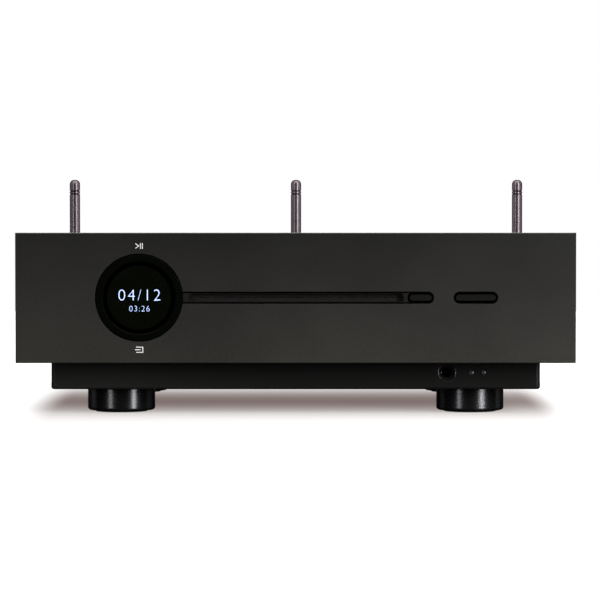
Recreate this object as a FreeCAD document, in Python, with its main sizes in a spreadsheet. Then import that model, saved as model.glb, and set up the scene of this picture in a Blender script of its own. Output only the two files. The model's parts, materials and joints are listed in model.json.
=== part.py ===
import FreeCAD, Part
import math
import os
import re
import Sketcher

# Streaming amplifier with a disc slot
# Lengths are in millimetres. X runs to the right seen from the front, Y to the back and Z up.
# The origin lies on the floor under the middle of the whole object.

SIZES = {
    # whole object
    "overall_width": 320.0,
    "overall_depth": 320.0,
    "rear_overhang": 20.0,
    "sheet": 1.5,
    "fit_gap": 0.2,
    "board_thickness": 1.6,
    "stud_height": 7.0,
    "stud_radius": 2.6,
    # feet
    "foot_radius": 19.7,
    "foot_height": 14.4,
    "foot_inset": 57.9,
    "foot_setback": 54.6,
    "rear_foot_inset": 33.0,
    "foot_edge": 1.7,
    "pad_radius": 15.0,
    "pad_stand": 0.8,
    "pad_depth": 1.6,
    "foot_screw_radius": 2.0,
    "foot_boss_radius": 5.5,
    "foot_boss_height": 7.0,
    # plinth
    "plinth_inset": 18.8,
    "plinth_height": 16.2,
    "plinth_setback": 22.0,
    "plinth_rear_inset": 12.0,
    "plinth_wall": 2.4,
    "plinth_corner": 2.5,
    "plinth_edge": 1.5,
    # front panel
    "panel_height": 74.4,
    "panel_thickness": 10.0,
    "panel_edge": 0.4,
    "control_rise": 37.4,
    # display and control ring
    "dial_inset": 70.6,
    "dial_radius": 25.2,
    "ring_gap": 0.35,
    "rock_gap": 0.55,
    "ring_depth": 8.0,
    "ring_skirt": 4.5,
    "ring_edge": 0.6,
    "window_radius": 20.2,
    "window_thickness": 2.0,
    "window_sink": 0.1,
    "holder_wall": 1.8,
    "holder_depth": 18.0,
    "holder_flange_radius": 24.0,
    "holder_flange": 2.0,
    "cable_hole_radius": 6.0,
    "module_depth": 6.0,
    "sleeve_wall": 1.3,
    "bearing_gap": 0.1,
    "cradle_radius": 27.0,
    "cradle_plate": 2.0,
    "rock_axis_depth": 14.0,
    "trunnion_radius": 1.5,
    "trunnion_length": 3.4,
    "trunnion_gap": 0.05,
    "lug_width": 3.0,
    "lug_height": 10.0,
    "bracket_width": 68.0,
    "bracket_height": 58.0,
    "bracket_post_radius": 2.5,
    "bracket_post_inset": 4.0,
    "switch_side": 4.0,
    # slot insert
    "groove_height": 6.95,
    "groove_gap": 11.1,
    "slot_first_land": 3.1,
    "slot_last_land": 2.0,
    "slot_height": 4.9,
    "insert_edge": 0.7,
    "insert_flank": 1.4,
    "felt_depth": 4.4,
    "felt_thickness": 1.4,
    "felt_parting": 0.3,
    # push buttons
    "eject_width": 15.2,
    "standby_inset": 57.2,
    "standby_width": 25.4,
    "cap_gap": 0.35,
    "cap_flank": 1.5,
    "cap_sink": 0.1,
    "cap_face_height": 3.25,
    "cap_face_inset": 1.0,
    "cap_flange": 0.9,
    "cap_flange_thickness": 1.2,
    "cap_stem_radius": 1.5,
    "cap_stem_length": 2.0,
    "button_travel": 0.5,
    "button_switch_side": 6.0,
    "button_board_depth": 15.4,
    "button_board_height": 16.0,
    # headphone socket and lenses
    "headphone_inset": 72.8,
    "headphone_rise": 24.1,
    "headphone_radius": 5.25,
    "headphone_bore_radius": 3.2,
    "headphone_rim": 0.45,
    "headphone_proud": 0.3,
    "headphone_dish": 1.4,
    "jack_side": 12.0,
    "jack_length": 26.0,
    "jack_overhang": 2.0,
    "lens_radius": 1.5,
    "lens_gap": 14.1,
    "lens_spacing": 7.0,
    "lens_proud": 0.9,
    "lens_length": 4.6,
    "light_gap": 2.0,
    "light_depth": 4.0,
    # chassis
    "chassis_inset": 7.0,
    "chassis_height": 70.0,
    "bend_radius": 2.5,
    "rear_lip": 8.0,
    "sink_wall": 5.0,
    "fin_depth": 10.0,
    "fin_thickness": 3.0,
    "fin_pitch": 12.0,
    "sink_rear_room": 22.0,
    "vent_length": 44.0,
    "vent_width": 3.4,
    "vent_pitch": 9.0,
    "vent_field": 162.0,
    "vent_start": 52.0,
    "vent_from_middle": 80.0,
    # fasteners
    "screw_radius": 1.3,
    "screw_clearance": 0.2,
    "screw_head_radius": 2.8,
    "screw_head_height": 2.0,
    "screw_length": 8.0,
    "screw_end_gap": 1.0,
    "screw_socket": 2.5,
    "screw_socket_depth": 1.0,
    "panel_screw_inset": 28.0,
    "panel_screw_low": 9.6,
    "panel_screw_high": 61.4,
    "rear_screw_spacing": 80.0,
    "rear_screw_rise": 4.8,
    "cover_screw_first": 14.0,
    # boards and power
    "transformer_room": 36.5,
    "transformer_gap": 4.0,
    "transformer_bore": 14.0,
    "transformer_height": 36.0,
    "transformer_round_share": 0.35,
    "transformer_across": -75.0,
    "clamp_share": 0.75,
    "clamp_thickness": 1.8,
    "clamp_bolt_radius": 4.0,
    "clamp_nut_radius": 7.0,
    "clamp_nut_height": 5.5,
    "supply_left": -10.0,
    "supply_width": 80.0,
    "supply_rear_room": 20.0,
    "capacitor_radius": 12.5,
    "capacitor_height": 40.0,
    "capacitor_spacing": 32.0,
    "board_gap": 3.0,
    "stud_inset": 6.0,
    "amplifier_front": 36.0,
    "transistor_thickness": 5.0,
    "transistor_width": 16.0,
    "transistor_height": 20.0,
    "transistor_pitch": 30.0,
    "transistor_rise": 8.0,
    "transistor_leg": 1.0,
    "main_front": 40.0,
    "socket_board_inner": 78.0,
    "socket_board_gap": 4.0,
    "socket_board_overlap": 22.0,
    "socket_board_land": 4.5,
    "socket_stud_room": 60.0,
    "coil_inset": 20.0,
    "coil_setback": 30.0,
    "can_width": 50.0,
    "can_length": 36.0,
    "can_height": 6.0,
    # disc drive
    "drive_width": 144.0,
    "drive_front": 28.0,
    "drive_length": 154.0,
    "drive_height": 32.0,
    "drive_below": 16.0,
    "drive_sheet": 1.2,
    "drive_mouth_height": 12.0,
    "drive_mouth_room": 5.0,
    "drive_ear": 9.0,
    "drive_ear_length": 14.0,
    "drive_ear_rise": 5.0,
    "grommet_radius": 4.0,
    "grommet_bore": 2.0,
    "pillar_radius": 4.5,
    "pillar_height": 18.0,
    "disc_radius": 60.0,
    "disc_thickness": 1.2,
    "disc_front_room": 27.0,
    "turntable_radius": 14.0,
    "turntable_thickness": 2.4,
    "hub_radius": 7.4,
    "hub_height": 2.6,
    "spindle_motor_radius": 12.0,
    "spindle_motor_height": 7.0,
    "spindle_motor_edge": 1.0,
    "roller_radius": 4.2,
    "roller_waist": 3.4,
    "roller_length": 112.0,
    "roller_below": 4.8,
    "roller_setback": 8.0,
    "roller_shaft_radius": 1.5,
    "sled_width": 42.0,
    "sled_length": 18.0,
    "sled_height": 8.0,
    "sled_start": 25.0,
    "sled_rise": 3.0,
    "rod_spacing": 34.0,
    "rod_radius": 1.5,
    "rod_gap": 0.08,
    "rod_overhang": 4.0,
    "rod_post_width": 6.0,
    "rod_post_depth": 3.0,
    "lens_barrel_radius": 4.0,
    "lens_barrel_height": 1.0,
    # mains inlet
    "inlet_inset": 28.0,
    "inlet_width": 27.0,
    "inlet_low": 10.5,
    "inlet_height": 50.0,
    "inlet_flange": 2.5,
    "inlet_flange_thickness": 2.0,
    "inlet_depth": 30.0,
    "cavity_width": 24.0,
    "cavity_height": 16.4,
    "cavity_depth": 17.0,
    "cavity_rise": 13.5,
    "pin_width": 2.0,
    "pin_height": 4.0,
    "pin_spacing": 7.0,
    "pin_length": 14.0,
    "earth_rise": 2.0,
    "rocker_width": 12.6,
    "rocker_height": 19.0,
    "rocker_rise": 36.0,
    "rocker_tilt": 10.0,
    "rocker_axis_depth": 3.0,
    "rocker_relief": 1.5,
    "rocker_well": 12.0,
    # rear sockets
    "rca_first_across": 22.0,
    "rca_spacing": 20.0,
    "rca_rise": 19.0,
    "rca_row_spacing": 18.0,
    "rca_radius": 4.15,
    "rca_length": 9.0,
    "rca_nut_radius": 6.0,
    "rca_nut_thickness": 2.4,
    "rca_pin_radius": 1.6,
    "rca_recess_radius": 3.3,
    "rca_recess": 1.0,
    "rca_body_length": 12.0,
    "network_across": 118.0,
    "network_width": 16.0,
    "network_height": 13.4,
    "network_length": 18.0,
    "network_mouth_width": 11.7,
    "network_mouth_height": 7.0,
    "network_mouth_depth": 12.0,
    "network_notch": 2.0,
    "usb_across": 98.0,
    "usb_width": 13.2,
    "usb_height": 5.8,
    "usb_length": 14.0,
    "usb_wall": 0.5,
    "usb_back_wall": 1.0,
    "usb_tongue": 1.8,
    "usb_tongue_drop": 2.4,
    "usb_tongue_sink": 2.0,
    "optical_across": 84.0,
    "optical_side": 9.8,
    "optical_mouth": 5.6,
    "optical_depth": 8.0,
    "socket_proud": 0.8,
    # binding posts
    "post_first_across": -62.0,
    "post_spacing": 19.05,
    "post_pair_spacing": 40.0,
    "post_rise": 27.4,
    "post_flange_radius": 8.0,
    "post_flange_thickness": 3.0,
    "post_neck": 2.0,
    "post_stud_radius": 3.0,
    "post_stud_short": 1.0,
    "post_collar": 1.0,
    "post_bore_radius": 2.0,
    "post_bore_depth": 14.0,
    "post_body_length": 8.0,
    "cap_gap_radial": 0.15,
    "cap_radius": 6.5,
    "flute_radius": 1.2,
    "flute_count": 8.0,
    "flute_start": 1.5,
    # aerials
    "aerial_inset": 14.5,
    "aerial_rise": 49.4,
    "aerial_behind": 10.0,
    "aerial_radius": 3.4,
    "aerial_tip": 56.0,
    "aerial_round": 3.0,
    "aerial_foot": 4.3,
    "aerial_groove": 0.6,
    "aerial_groove_depth": 0.35,
    "aerial_first_groove": 7.0,
    "aerial_groove_pitch": 2.0,
    "barrel_radius": 3.1,
    "barrel_length": 5.4,
    "barrel_nut": 8.0,
    "barrel_nut_thickness": 1.8,
    "sleeve_gap": 0.2,
    "sleeve_radius": 4.4,
    "cheek_inner": 1.8,
    "cheek_outer": 3.5,
    "cheek_radius": 3.4,
    "tongue_gap": 0.25,
    "tongue_radius": 3.2,
    "hinge_pin_radius": 1.0,
    "hinge_pin_gap": 0.08,
}

# Places that follow from the sizes, each written with the sizes or with other places
PLACES = {
    "panel_front": "-overall_depth / 2",
    "panel_back": "panel_front + panel_thickness",
    "wall_back": "panel_back + sheet",
    "rear_face": "overall_depth / 2 - rear_overhang",
    "rear_inner": "rear_face - sheet",
    "body_floor": "foot_height + plinth_height",
    "tray_floor": "body_floor + sheet",
    "board_under": "tray_floor + stud_height",
    "board_top": "board_under + board_thickness",
    "panel_top": "body_floor + panel_height",
    "cover_top": "body_floor + chassis_height",
    "cover_under": "cover_top - sheet",
    "chassis_side": "overall_width / 2 - chassis_inset",
    "sink_inner": "chassis_side - fin_depth - sink_wall",
    "sink_back": "rear_face - sink_rear_room",
    "sink_length": "sink_back - panel_back",
    "cover_screw_spacing": "(sink_length - 2 * cover_screw_first) / 2",
    "panel_screw_across": "overall_width / 2 - panel_screw_inset",
    "control_up": "body_floor + control_rise",
    "dial_across": "dial_inset - overall_width / 2",
    "standby_across": "overall_width / 2 - standby_inset",
    "standby_left": "standby_across - standby_width / 2",
    "standby_right": "standby_across + standby_width / 2",
    "groove_right": "standby_left - groove_gap",
    "eject_left": "groove_right - eject_width",
    "slot_left": "dial_across + dial_radius + slot_first_land",
    "slot_right": "eject_left - slot_last_land",
    "ring_outer": "dial_radius - ring_gap",
    "ring_inner": "window_radius + ring_gap",
    "sleeve_outer": "ring_inner + sleeve_wall",
    "cradle_front": "rock_axis_depth - cradle_plate / 2",
    "cradle_back": "rock_axis_depth + cradle_plate / 2",
    "plate_front": "holder_depth + holder_flange",
    "plate_back": "plate_front + sheet",
    "lug_inner": "cradle_radius + rock_gap",
    "groove_radius": "groove_height / 2",
    "insert_radius": "groove_radius - fit_gap",
    "slot_radius": "slot_height / 2",
    "plinth_front": "panel_front + plinth_setback",
    "plinth_back": "rear_face - plinth_rear_inset",
    "plinth_side": "overall_width / 2 - plinth_inset",
    "plinth_floor": "foot_height + plinth_wall",
    "front_foot": "panel_front + foot_setback",
    "rear_foot": "plinth_back - rear_foot_inset",
    "foot_across": "overall_width / 2 - foot_inset",
    "headphone_across": "overall_width / 2 - headphone_inset",
    "lens_first_across": "headphone_across + lens_gap",
    "lens_second_across": "lens_first_across + lens_spacing",
    "cap_radius_full": "groove_radius - cap_gap",
    "drive_across": "(slot_left + slot_right) / 2",
    "drive_floor": "control_up - drive_below",
    "drive_top": "drive_floor + drive_height",
    "drive_inner_floor": "drive_floor + drive_sheet",
    "drive_start": "panel_front + drive_front",
    "drive_end": "drive_start + drive_length",
    "drive_left": "drive_across - drive_width / 2",
    "drive_right": "drive_across + drive_width / 2",
    "disc_middle": "drive_start + disc_front_room + disc_radius",
    "roller_line": "drive_start + roller_setback",
    "transformer_radius": "(rear_inner - drive_end - transformer_room) / 2",
    "transformer_back": "drive_end + transformer_gap + transformer_radius",
    "transformer_round": "(transformer_radius - transformer_bore) * transformer_round_share",
    "clamp_radius": "transformer_radius * clamp_share",
    "amplifier_inner": "drive_width / 2 + drive_ear + board_gap",
    "amplifier_start": "panel_front + amplifier_front",
    "amplifier_end": "socket_board_front - board_gap",
    "main_side": "drive_width / 2 - board_gap",
    "main_start": "panel_front + main_front",
    "socket_board_front": "drive_end - drive_ear_length - pillar_radius - socket_board_land",
    "socket_board_outer": "sink_inner - socket_board_gap",
    "socket_board_middle": "(socket_board_inner + socket_board_outer) / 2",
    "main_back": "socket_board_front + socket_board_overlap",
    "supply_start": "main_back + board_gap",
    "supply_end": "rear_inner - supply_rear_room",
    "supply_right": "supply_left + supply_width",
    "inlet_across": "-(sink_inner - inlet_inset)",
    "aerial_across": "overall_width / 2 - aerial_inset",
    "aerial_line": "rear_face + aerial_behind",
    "aerial_up": "body_floor + aerial_rise",
    "inlet_bottom": "body_floor + inlet_low",
    "post_up": "body_floor + post_rise",
    "cap_start": "rear_face + post_flange_thickness + post_neck",
}

document = FreeCAD.newDocument("streaming_amplifier")
sheet = document.addObject("Spreadsheet::Sheet", "Sizes")
for row, (name, size) in enumerate(SIZES.items(), 1):
    sheet.set(f"A{row}", name)
    sheet.set(f"B{row}", str(size))
    sheet.setAlias(f"B{row}", name)
document.recompute()


def formula(text):
    """Write a text of sizes and places as a formula over the sheet."""

    def spell(match):
        word = match.group(0)
        if word in PLACES:
            return f"({formula(PLACES[word])})"
        if word in SIZES:
            return f"Sizes.{word}"
        return word

    return re.sub(r"[a-z][a-z_]*", spell, text)


def number(text):
    """Give the value that a formula has now, in millimetres."""
    return float(sheet.evalExpression(formula(text)))


# Outlines for sketches

def tie(sketch, kind, elements, text):
    """Bind one dimension of a sketch to a formula."""
    index = sketch.addConstraint(Sketcher.Constraint(kind, *elements, number(text)))
    sketch.setExpression(f"Constraints[{index}]", formula(text))


def tie_point(sketch, element, point, across, up):
    """Bind a point of a sketch to its two distances from the origin."""
    tie(sketch, "DistanceX", (element, point), across)
    tie(sketch, "DistanceY", (element, point), up)


def polygon(points):
    """Outline with straight sides through the given corners."""

    def draw(sketch):
        places = [FreeCAD.Vector(number(across), number(up), 0) for across, up in points]
        ends = places[1:] + places[:1]
        lines = [sketch.addGeometry(Part.LineSegment(a, b)) for a, b in zip(places, ends)]
        for line, following in zip(lines, lines[1:] + lines[:1]):
            sketch.addConstraint(Sketcher.Constraint("Coincident", line, 2, following, 1))
        for line, (across, up) in zip(lines, points):
            tie_point(sketch, line, 1, across, up)

    return draw


def box(left, right, low, high):
    """Rectangular outline."""
    return polygon([(left, low), (right, low), (right, high), (left, high)])


def box_at(across, up, width, height):
    """Rectangular outline about its middle."""
    return box(
        f"({across}) - ({width}) / 2",
        f"({across}) + ({width}) / 2",
        f"({up}) - ({height}) / 2",
        f"({up}) + ({height}) / 2",
    )


def disc(across, up, radius):
    """Round outline."""

    def draw(sketch):
        middle = FreeCAD.Vector(number(across), number(up), 0)
        circle = Part.Circle(middle, FreeCAD.Vector(0, 0, 1), number(radius))
        element = sketch.addGeometry(circle)
        tie_point(sketch, element, 3, across, up)
        tie(sketch, "Radius", (element,), radius)

    return draw


def rounded(left, right, low, high, radius):
    """Rectangular outline with round corners, or with round ends where its radius is half its height."""

    def draw(sketch):
        x0, x1, y0, y1 = (number(text) for text in (left, right, low, high))
        r = number(radius)
        ends_round = abs((y1 - y0) - 2 * r) < 1e-6
        upward = FreeCAD.Vector(0, 0, 1)
        quarter = math.pi / 2
        if ends_round:
            centres = [(x0 + r, (y0 + y1) / 2, 1, 3), (x1 - r, (y0 + y1) / 2, 3, 5)]
            ties = [(f"({left}) + ({radius})", f"(({low}) + ({high})) / 2")]
            ties.append((f"({right}) - ({radius})", f"(({low}) + ({high})) / 2"))
        else:
            centres = [(x0 + r, y0 + r, 2, 3), (x1 - r, y0 + r, 3, 4)]
            centres += [(x1 - r, y1 - r, 0, 1), (x0 + r, y1 - r, 1, 2)]
            ties = [
                (f"({across}) {a} ({radius})", f"({up}) {b} ({radius})")
                for across, a, up, b in (
                    (left, "+", low, "+"),
                    (right, "-", low, "+"),
                    (right, "-", high, "-"),
                    (left, "+", high, "-"),
                )
            ]
        arcs = []
        for x, y, start, end in centres:
            circle = Part.Circle(FreeCAD.Vector(x, y, 0), upward, r)
            arcs.append(sketch.addGeometry(Part.ArcOfCircle(circle, start * quarter, end * quarter)))
        shapes = [sketch.Geometry[arc] for arc in arcs]
        for index, arc in enumerate(arcs):
            following = (index + 1) % len(arcs)
            line = Part.LineSegment(shapes[index].EndPoint, shapes[following].StartPoint)
            side = sketch.addGeometry(line)
            sketch.addConstraint(Sketcher.Constraint("Tangent", arc, 2, side, 1))
            sketch.addConstraint(Sketcher.Constraint("Tangent", side, 2, arcs[following], 1))
        for arc, (across, up) in zip(arcs, ties):
            tie_point(sketch, arc, 3, across, up)
            tie(sketch, "Radius", (arc,), radius)

    return draw


def hexagon(across, up, flats):
    """Six-sided outline about its middle, given by the distance between two flats."""
    reach = f"{flats} / 2 / cos(30)"
    return polygon([
        (f"{across} + {reach} * cos({angle})", f"{up} + {reach} * sin({angle})")
        for angle in range(0, 360, 60)
    ])


def slot(left, right, middle, radius):
    """Outline of a slot that lies along the sketch and has round ends."""
    low = f"({middle}) - ({radius})"
    high = f"({middle}) + ({radius})"
    return rounded(left, right, low, high, radius)


# Features of a piece

PLANES = {"X": "YZ_Plane", "Y": "XZ_Plane", "Z": "XY_Plane"}
pieces = []


def new_piece(label, across="0", back="0", up="0"):
    """Start a piece whose own origin lies at the given place."""
    body = document.addObject("PartDesign::Body", label)
    body.Label = label
    body.AllowCompound = True
    for axis, text in zip("xyz", (across, back, up)):
        body.setExpression(f"Placement.Base.{axis}", formula(text))
    pieces.append(body)
    return body


def new_sketch(body, axis, start, outlines):
    """Draw outlines on a plane square to an axis, at a place along that axis."""
    sketch = body.newObject("Sketcher::SketchObject", "Sketch")
    plane = next(o for o in body.Origin.OriginFeatures if o.Role == PLANES[axis])
    sketch.AttachmentSupport = [(plane, "")]
    sketch.MapMode = "FlatFace"
    offset = f"-({start})" if axis == "Y" else start
    sketch.setExpression(".AttachmentOffset.Base.z", formula(offset))
    for draw in outlines:
        draw(sketch)
    return sketch


def pad(body, axis, start, end, *outlines):
    """Add material between two places along an axis."""
    feature = body.newObject("PartDesign::Pad", "Pad")
    feature.Profile = new_sketch(body, axis, start, outlines)
    feature.setExpression("Length", formula(f"({end}) - ({start})"))
    feature.Reversed = axis == "Y"
    body.Tip = feature
    return feature


def pocket(body, axis, start, end, *outlines):
    """Cut material away between two places along an axis, and check that some went."""
    document.recompute()
    before = body.Tip.Shape.Volume
    feature = body.newObject("PartDesign::Pocket", "Pocket")
    feature.Profile = new_sketch(body, axis, start, outlines)
    feature.setExpression("Length", formula(f"({end}) - ({start})"))
    feature.Reversed = axis != "Y"
    body.Tip = feature
    document.recompute()
    if feature.Shape.Volume > before - 1e-3:
        raise ValueError(f"{body.Label}: a pocket along {axis} from {start} cuts nothing")
    return feature


def turn(body, axis, points, cut=False):
    """Turn an outline of (radius, place along the axis) about an axis through the piece's origin."""
    if axis == "X":
        outline = polygon([(along, radius) for radius, along in points])
    else:
        outline = polygon(points)
    sketch = new_sketch(body, "Y" if axis == "Z" else "Z", "0", [outline])
    feature = body.newObject("PartDesign::Groove" if cut else "PartDesign::Revolution", "Turned")
    feature.Profile = sketch
    feature.ReferenceAxis = (sketch, ["H_Axis" if axis == "X" else "V_Axis"])
    feature.Angle = 360
    body.Tip = feature
    return feature


def loft(body, axis, start, first, end, second):
    """Add material that runs from one outline to another."""
    feature = body.newObject("PartDesign::AdditiveLoft", "Loft")
    feature.Profile = new_sketch(body, axis, start, [first])
    feature.Sections = [new_sketch(body, axis, end, [second])]
    feature.Ruled = True
    body.Tip = feature
    return feature


def soften(body, kind, size, chosen):
    """Round or bevel the edges that a test on their bounds picks out."""
    document.recompute()
    base = body.Tip
    names = [f"Edge{n}" for n, edge in enumerate(base.Shape.Edges, 1) if chosen(edge.BoundBox)]
    feature = body.newObject(f"PartDesign::{kind}", kind)
    feature.Base = (base, names)
    feature.setExpression("Radius" if kind == "Fillet" else "Size", formula(size))
    body.Tip = feature
    return feature


def repeat(body, feature, axis, pitch, count):
    """Repeat a feature in a row along an axis of the piece."""
    row = body.newObject("PartDesign::LinearPattern", "Row")
    row.Originals = [feature]
    direction = next(o for o in body.Origin.OriginFeatures if o.Role == f"{axis}_Axis")
    row.Direction = (direction, [""])
    row.setExpression("Length", formula(f"({pitch}) * (({count}) - 1)"))
    row.setExpression("Occurrences", formula(count))
    body.Tip = row
    return row


def flat_at(place, axis):
    """Test for edges that lie wholly at one place along an axis."""
    target = number(place)

    def chosen(bounds):
        low = getattr(bounds, f"{axis}Min")
        high = getattr(bounds, f"{axis}Max")
        return abs(low - target) < 1e-4 and abs(high - target) < 1e-4

    return chosen


def upright_at(across, back):
    """Test for upright edges at given places across and back."""
    x = number(across)
    y = number(back)

    def chosen(bounds):
        near = abs(abs(bounds.XMin) - x) < 1e-4 and bounds.XLength < 1e-4
        return near and abs(bounds.YMin - y) < 1e-4 and bounds.YLength < 1e-4

    return chosen


# Casing

FEET = [(f"{side} foot_across", place) for side in ("-", "") for place in ("front_foot", "rear_foot")]
PANEL_SCREW_RISES = [f"body_floor + {rise}" for rise in ("panel_screw_low", "panel_screw_high")]
PANEL_SCREWS = [
    (across, up)
    for across in ("-panel_screw_across", "panel_screw_across", "drive_across")
    for up in PANEL_SCREW_RISES
]
COVER_SCREW_PLACES = [f"panel_back + cover_screw_first + {step} * cover_screw_spacing" for step in range(3)]
COVER_SCREWS = [
    (f"{side} (sink_inner + sink_wall / 2)", back) for side in ("-", "") for back in COVER_SCREW_PLACES
]
REAR_SCREWS = [
    (f"{step} * rear_screw_spacing", "body_floor + rear_screw_rise") for step in (-1.5, -0.5, 0.5, 1.5)
]
DRIVE_EARS = [
    (across, f"drive_start + {place}")
    for across in ("drive_left - drive_ear / 2", "drive_right + drive_ear / 2")
    for place in ("drive_ear_length", "drive_length - drive_ear_length")
]
SUPPLY_STUDS = [
    (across, back)
    for across in ("supply_left + stud_inset", "supply_right - stud_inset")
    for back in ("supply_start + stud_inset", "supply_end - stud_inset")
]
MAIN_STUDS = [
    (f"{side} (main_side - stud_inset)", back)
    for side in ("-", "")
    for back in ("main_start + stud_inset", "main_back - stud_inset")
]
MAIN_STUDS.append(("socket_board_middle", "rear_inner - socket_stud_room"))
AMPLIFIER_STUDS = [
    (f"{side} ({across})", back)
    for side in ("-", "")
    for across in ("amplifier_inner + stud_inset", "sink_inner - stud_inset")
    for back in ("amplifier_start + stud_inset", "amplifier_end - stud_inset")
]


def front_panel():
    """Thick slab with the round hole of the display, the long groove and the standby button's hole."""
    body = new_piece("front_panel")
    side = "overall_width / 2"
    pad(body, "Y", "panel_front", "panel_back", box(f"-{side}", side, "body_floor", "panel_top"))
    front = flat_at("panel_front", "Y")
    soften(body, "Chamfer", "panel_edge", front)
    pocket(body, "Y", "panel_front", "panel_back", disc("dial_across", "control_up", "dial_radius"))
    groove = slot("dial_across", "groove_right", "control_up", "groove_radius")
    pocket(body, "Y", "panel_front", "panel_back", groove)
    standby = slot("standby_left", "standby_right", "control_up", "groove_radius")
    pocket(body, "Y", "panel_front", "panel_back", standby)
    holes = [disc(across, up, "screw_radius + screw_clearance") for across, up in PANEL_SCREWS]
    pocket(body, "Y", "panel_back - screw_length", "panel_back", *holes)


def slot_insert():
    """Insert with sloped flanks that fills the groove up to the eject button and holds the disc slot."""
    body = new_piece("slot_insert")
    face_end = "groove_right - insert_edge"
    face = slot("dial_across", face_end, "control_up", "insert_radius - insert_edge")
    outline = slot("dial_across", "groove_right", "control_up", "insert_radius")
    flank_end = "panel_front + fit_gap + insert_flank"
    loft(body, "Y", "panel_front + fit_gap", face, flank_end, outline)
    pad(body, "Y", flank_end, "panel_back", outline)
    pocket(body, "Y", "panel_front", "panel_back", disc("dial_across", "control_up", "dial_radius"))
    beyond = slot("eject_left", "groove_right + groove_height", "control_up", "groove_radius")
    pocket(body, "Y", "panel_front", "panel_back", beyond)
    opening = slot("slot_left", "slot_right", "control_up", "slot_radius")
    pocket(body, "Y", "panel_front", "panel_back", opening)


def felt_lips():
    """Two felt strips that meet in the middle of the disc slot."""
    body = new_piece("felt_lips")
    start = "panel_front + felt_depth"
    end = f"{start} + felt_thickness"
    pad(body, "Y", start, end, slot("slot_left", "slot_right", "control_up", "slot_radius"))
    parting = box("slot_left", "slot_right", "control_up - felt_parting / 2", "control_up + felt_parting / 2")
    pocket(body, "Y", start, end, parting)


def base_tray():
    """Folded tray: floor, front wall behind the panel, low rear lip, pressed studs and pillars."""
    body = new_piece("base_tray")
    profile = [
        ("panel_back", "body_floor"),
        ("rear_inner", "body_floor"),
        ("rear_inner", "body_floor + rear_lip"),
        ("rear_inner - sheet", "body_floor + rear_lip"),
        ("rear_inner - sheet", "tray_floor"),
        ("wall_back", "tray_floor"),
        ("wall_back", "cover_under"),
        ("panel_back", "cover_under"),
    ]
    pad(body, "X", "-sink_inner", "sink_inner", polygon(profile))
    bends = [number("panel_back"), number("rear_inner")]
    floor = number("body_floor")
    soften(
        body,
        "Fillet",
        "bend_radius",
        lambda b: b.XLength > 1 and abs(b.ZMin - floor) < 1e-4 and b.ZLength < 1e-4
        and min(abs(b.YMin - bend) for bend in bends) < 1e-4 and b.YLength < 1e-4,
    )
    ring = disc("dial_across", "control_up", "dial_radius + ring_gap")
    mouth_end = "groove_right + 2 * cap_flange + cap_gap"
    mouth = box("slot_left", mouth_end, "control_up - groove_height", "control_up + groove_height")
    room = "standby_width + 4 * cap_flange"
    standby = box_at("standby_across", "control_up", room, "2 * groove_height")
    pocket(body, "Y", "panel_back", "wall_back", ring)
    pocket(body, "Y", "panel_back", "wall_back", mouth)
    pocket(body, "Y", "panel_back", "wall_back", standby)
    panel_holes = [disc(across, up, "screw_radius + screw_clearance") for across, up in PANEL_SCREWS]
    pocket(body, "Y", "panel_back", "wall_back", *panel_holes)
    rear_holes = [disc(across, up, "screw_radius + screw_clearance") for across, up in REAR_SCREWS]
    pocket(body, "Y", "rear_inner - sheet", "rear_inner", *rear_holes)
    lead_back = "plinth_front + jack_length + jack_side"
    lead_hole = box_at("headphone_across", lead_back, "jack_side", "jack_side")
    bolt_hole = disc("transformer_across", "transformer_back", "clamp_bolt_radius")
    pocket(body, "Z", "body_floor", "tray_floor", lead_hole, bolt_hole)
    places = SUPPLY_STUDS + MAIN_STUDS + AMPLIFIER_STUDS
    studs = [disc(across, back, "stud_radius") for across, back in places]
    pad(body, "Z", "tray_floor", "board_under", *studs)
    pillars = [disc(across, back, "pillar_radius") for across, back in DRIVE_EARS]
    pad(body, "Z", "tray_floor", "tray_floor + pillar_height", *pillars)
    pins = [disc(across, back, "grommet_bore - fit_gap") for across, back in DRIVE_EARS]
    pad(body, "Z", "tray_floor + pillar_height", "drive_floor + drive_ear_rise + 3 * drive_sheet", *pins)


def heat_sinks():
    """Extruded side walls with upright fins."""
    for label, side in (("heat_sink_left", "-"), ("heat_sink_right", "")):
        body = new_piece(label)
        inner = f"{side} sink_inner"
        outer = f"{side} chassis_side"
        pad(body, "Z", "body_floor", "cover_under", box(inner, outer, "panel_back", "sink_back"))
        root = f"{side} (sink_inner + sink_wall)"
        gap = box(root, f"{outer} * 1.001", "panel_back + fin_thickness", "panel_back + fin_pitch")
        channel = pocket(body, "Z", "body_floor", "cover_under", gap)
        count = "floor((sink_length - fin_thickness) / fin_pitch)"
        repeat(body, channel, "Y", "fin_pitch", count)
        own = [(x, y) for x, y in COVER_SCREWS if x.startswith("-") == (side == "-")]
        holes = [disc(across, back, "screw_radius + screw_clearance") for across, back in own]
        pocket(body, "Z", "cover_under - screw_length", "cover_under", *holes)


def top_cover():
    """Flat cover with two banks of vents over the amplifier boards."""
    body = new_piece("top_cover")
    outline = box("-chassis_side", "chassis_side", "panel_back", "rear_face")
    pad(body, "Z", "cover_under", "cover_top", outline)
    holes = [disc(across, back, "screw_head_radius + screw_clearance") for across, back in COVER_SCREWS]
    pocket(body, "Z", "cover_under", "cover_top", *holes)
    start = "panel_front + vent_start"
    end = f"{start} + vent_width"
    vents = [
        box(f"{side} vent_from_middle", f"{side} (vent_from_middle + vent_length)", start, end)
        for side in ("-", "")
    ]
    bank = pocket(body, "Z", "cover_under", "cover_top", *vents)
    repeat(body, bank, "Y", "vent_pitch", "floor(vent_field / vent_pitch) + 1")


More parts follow.
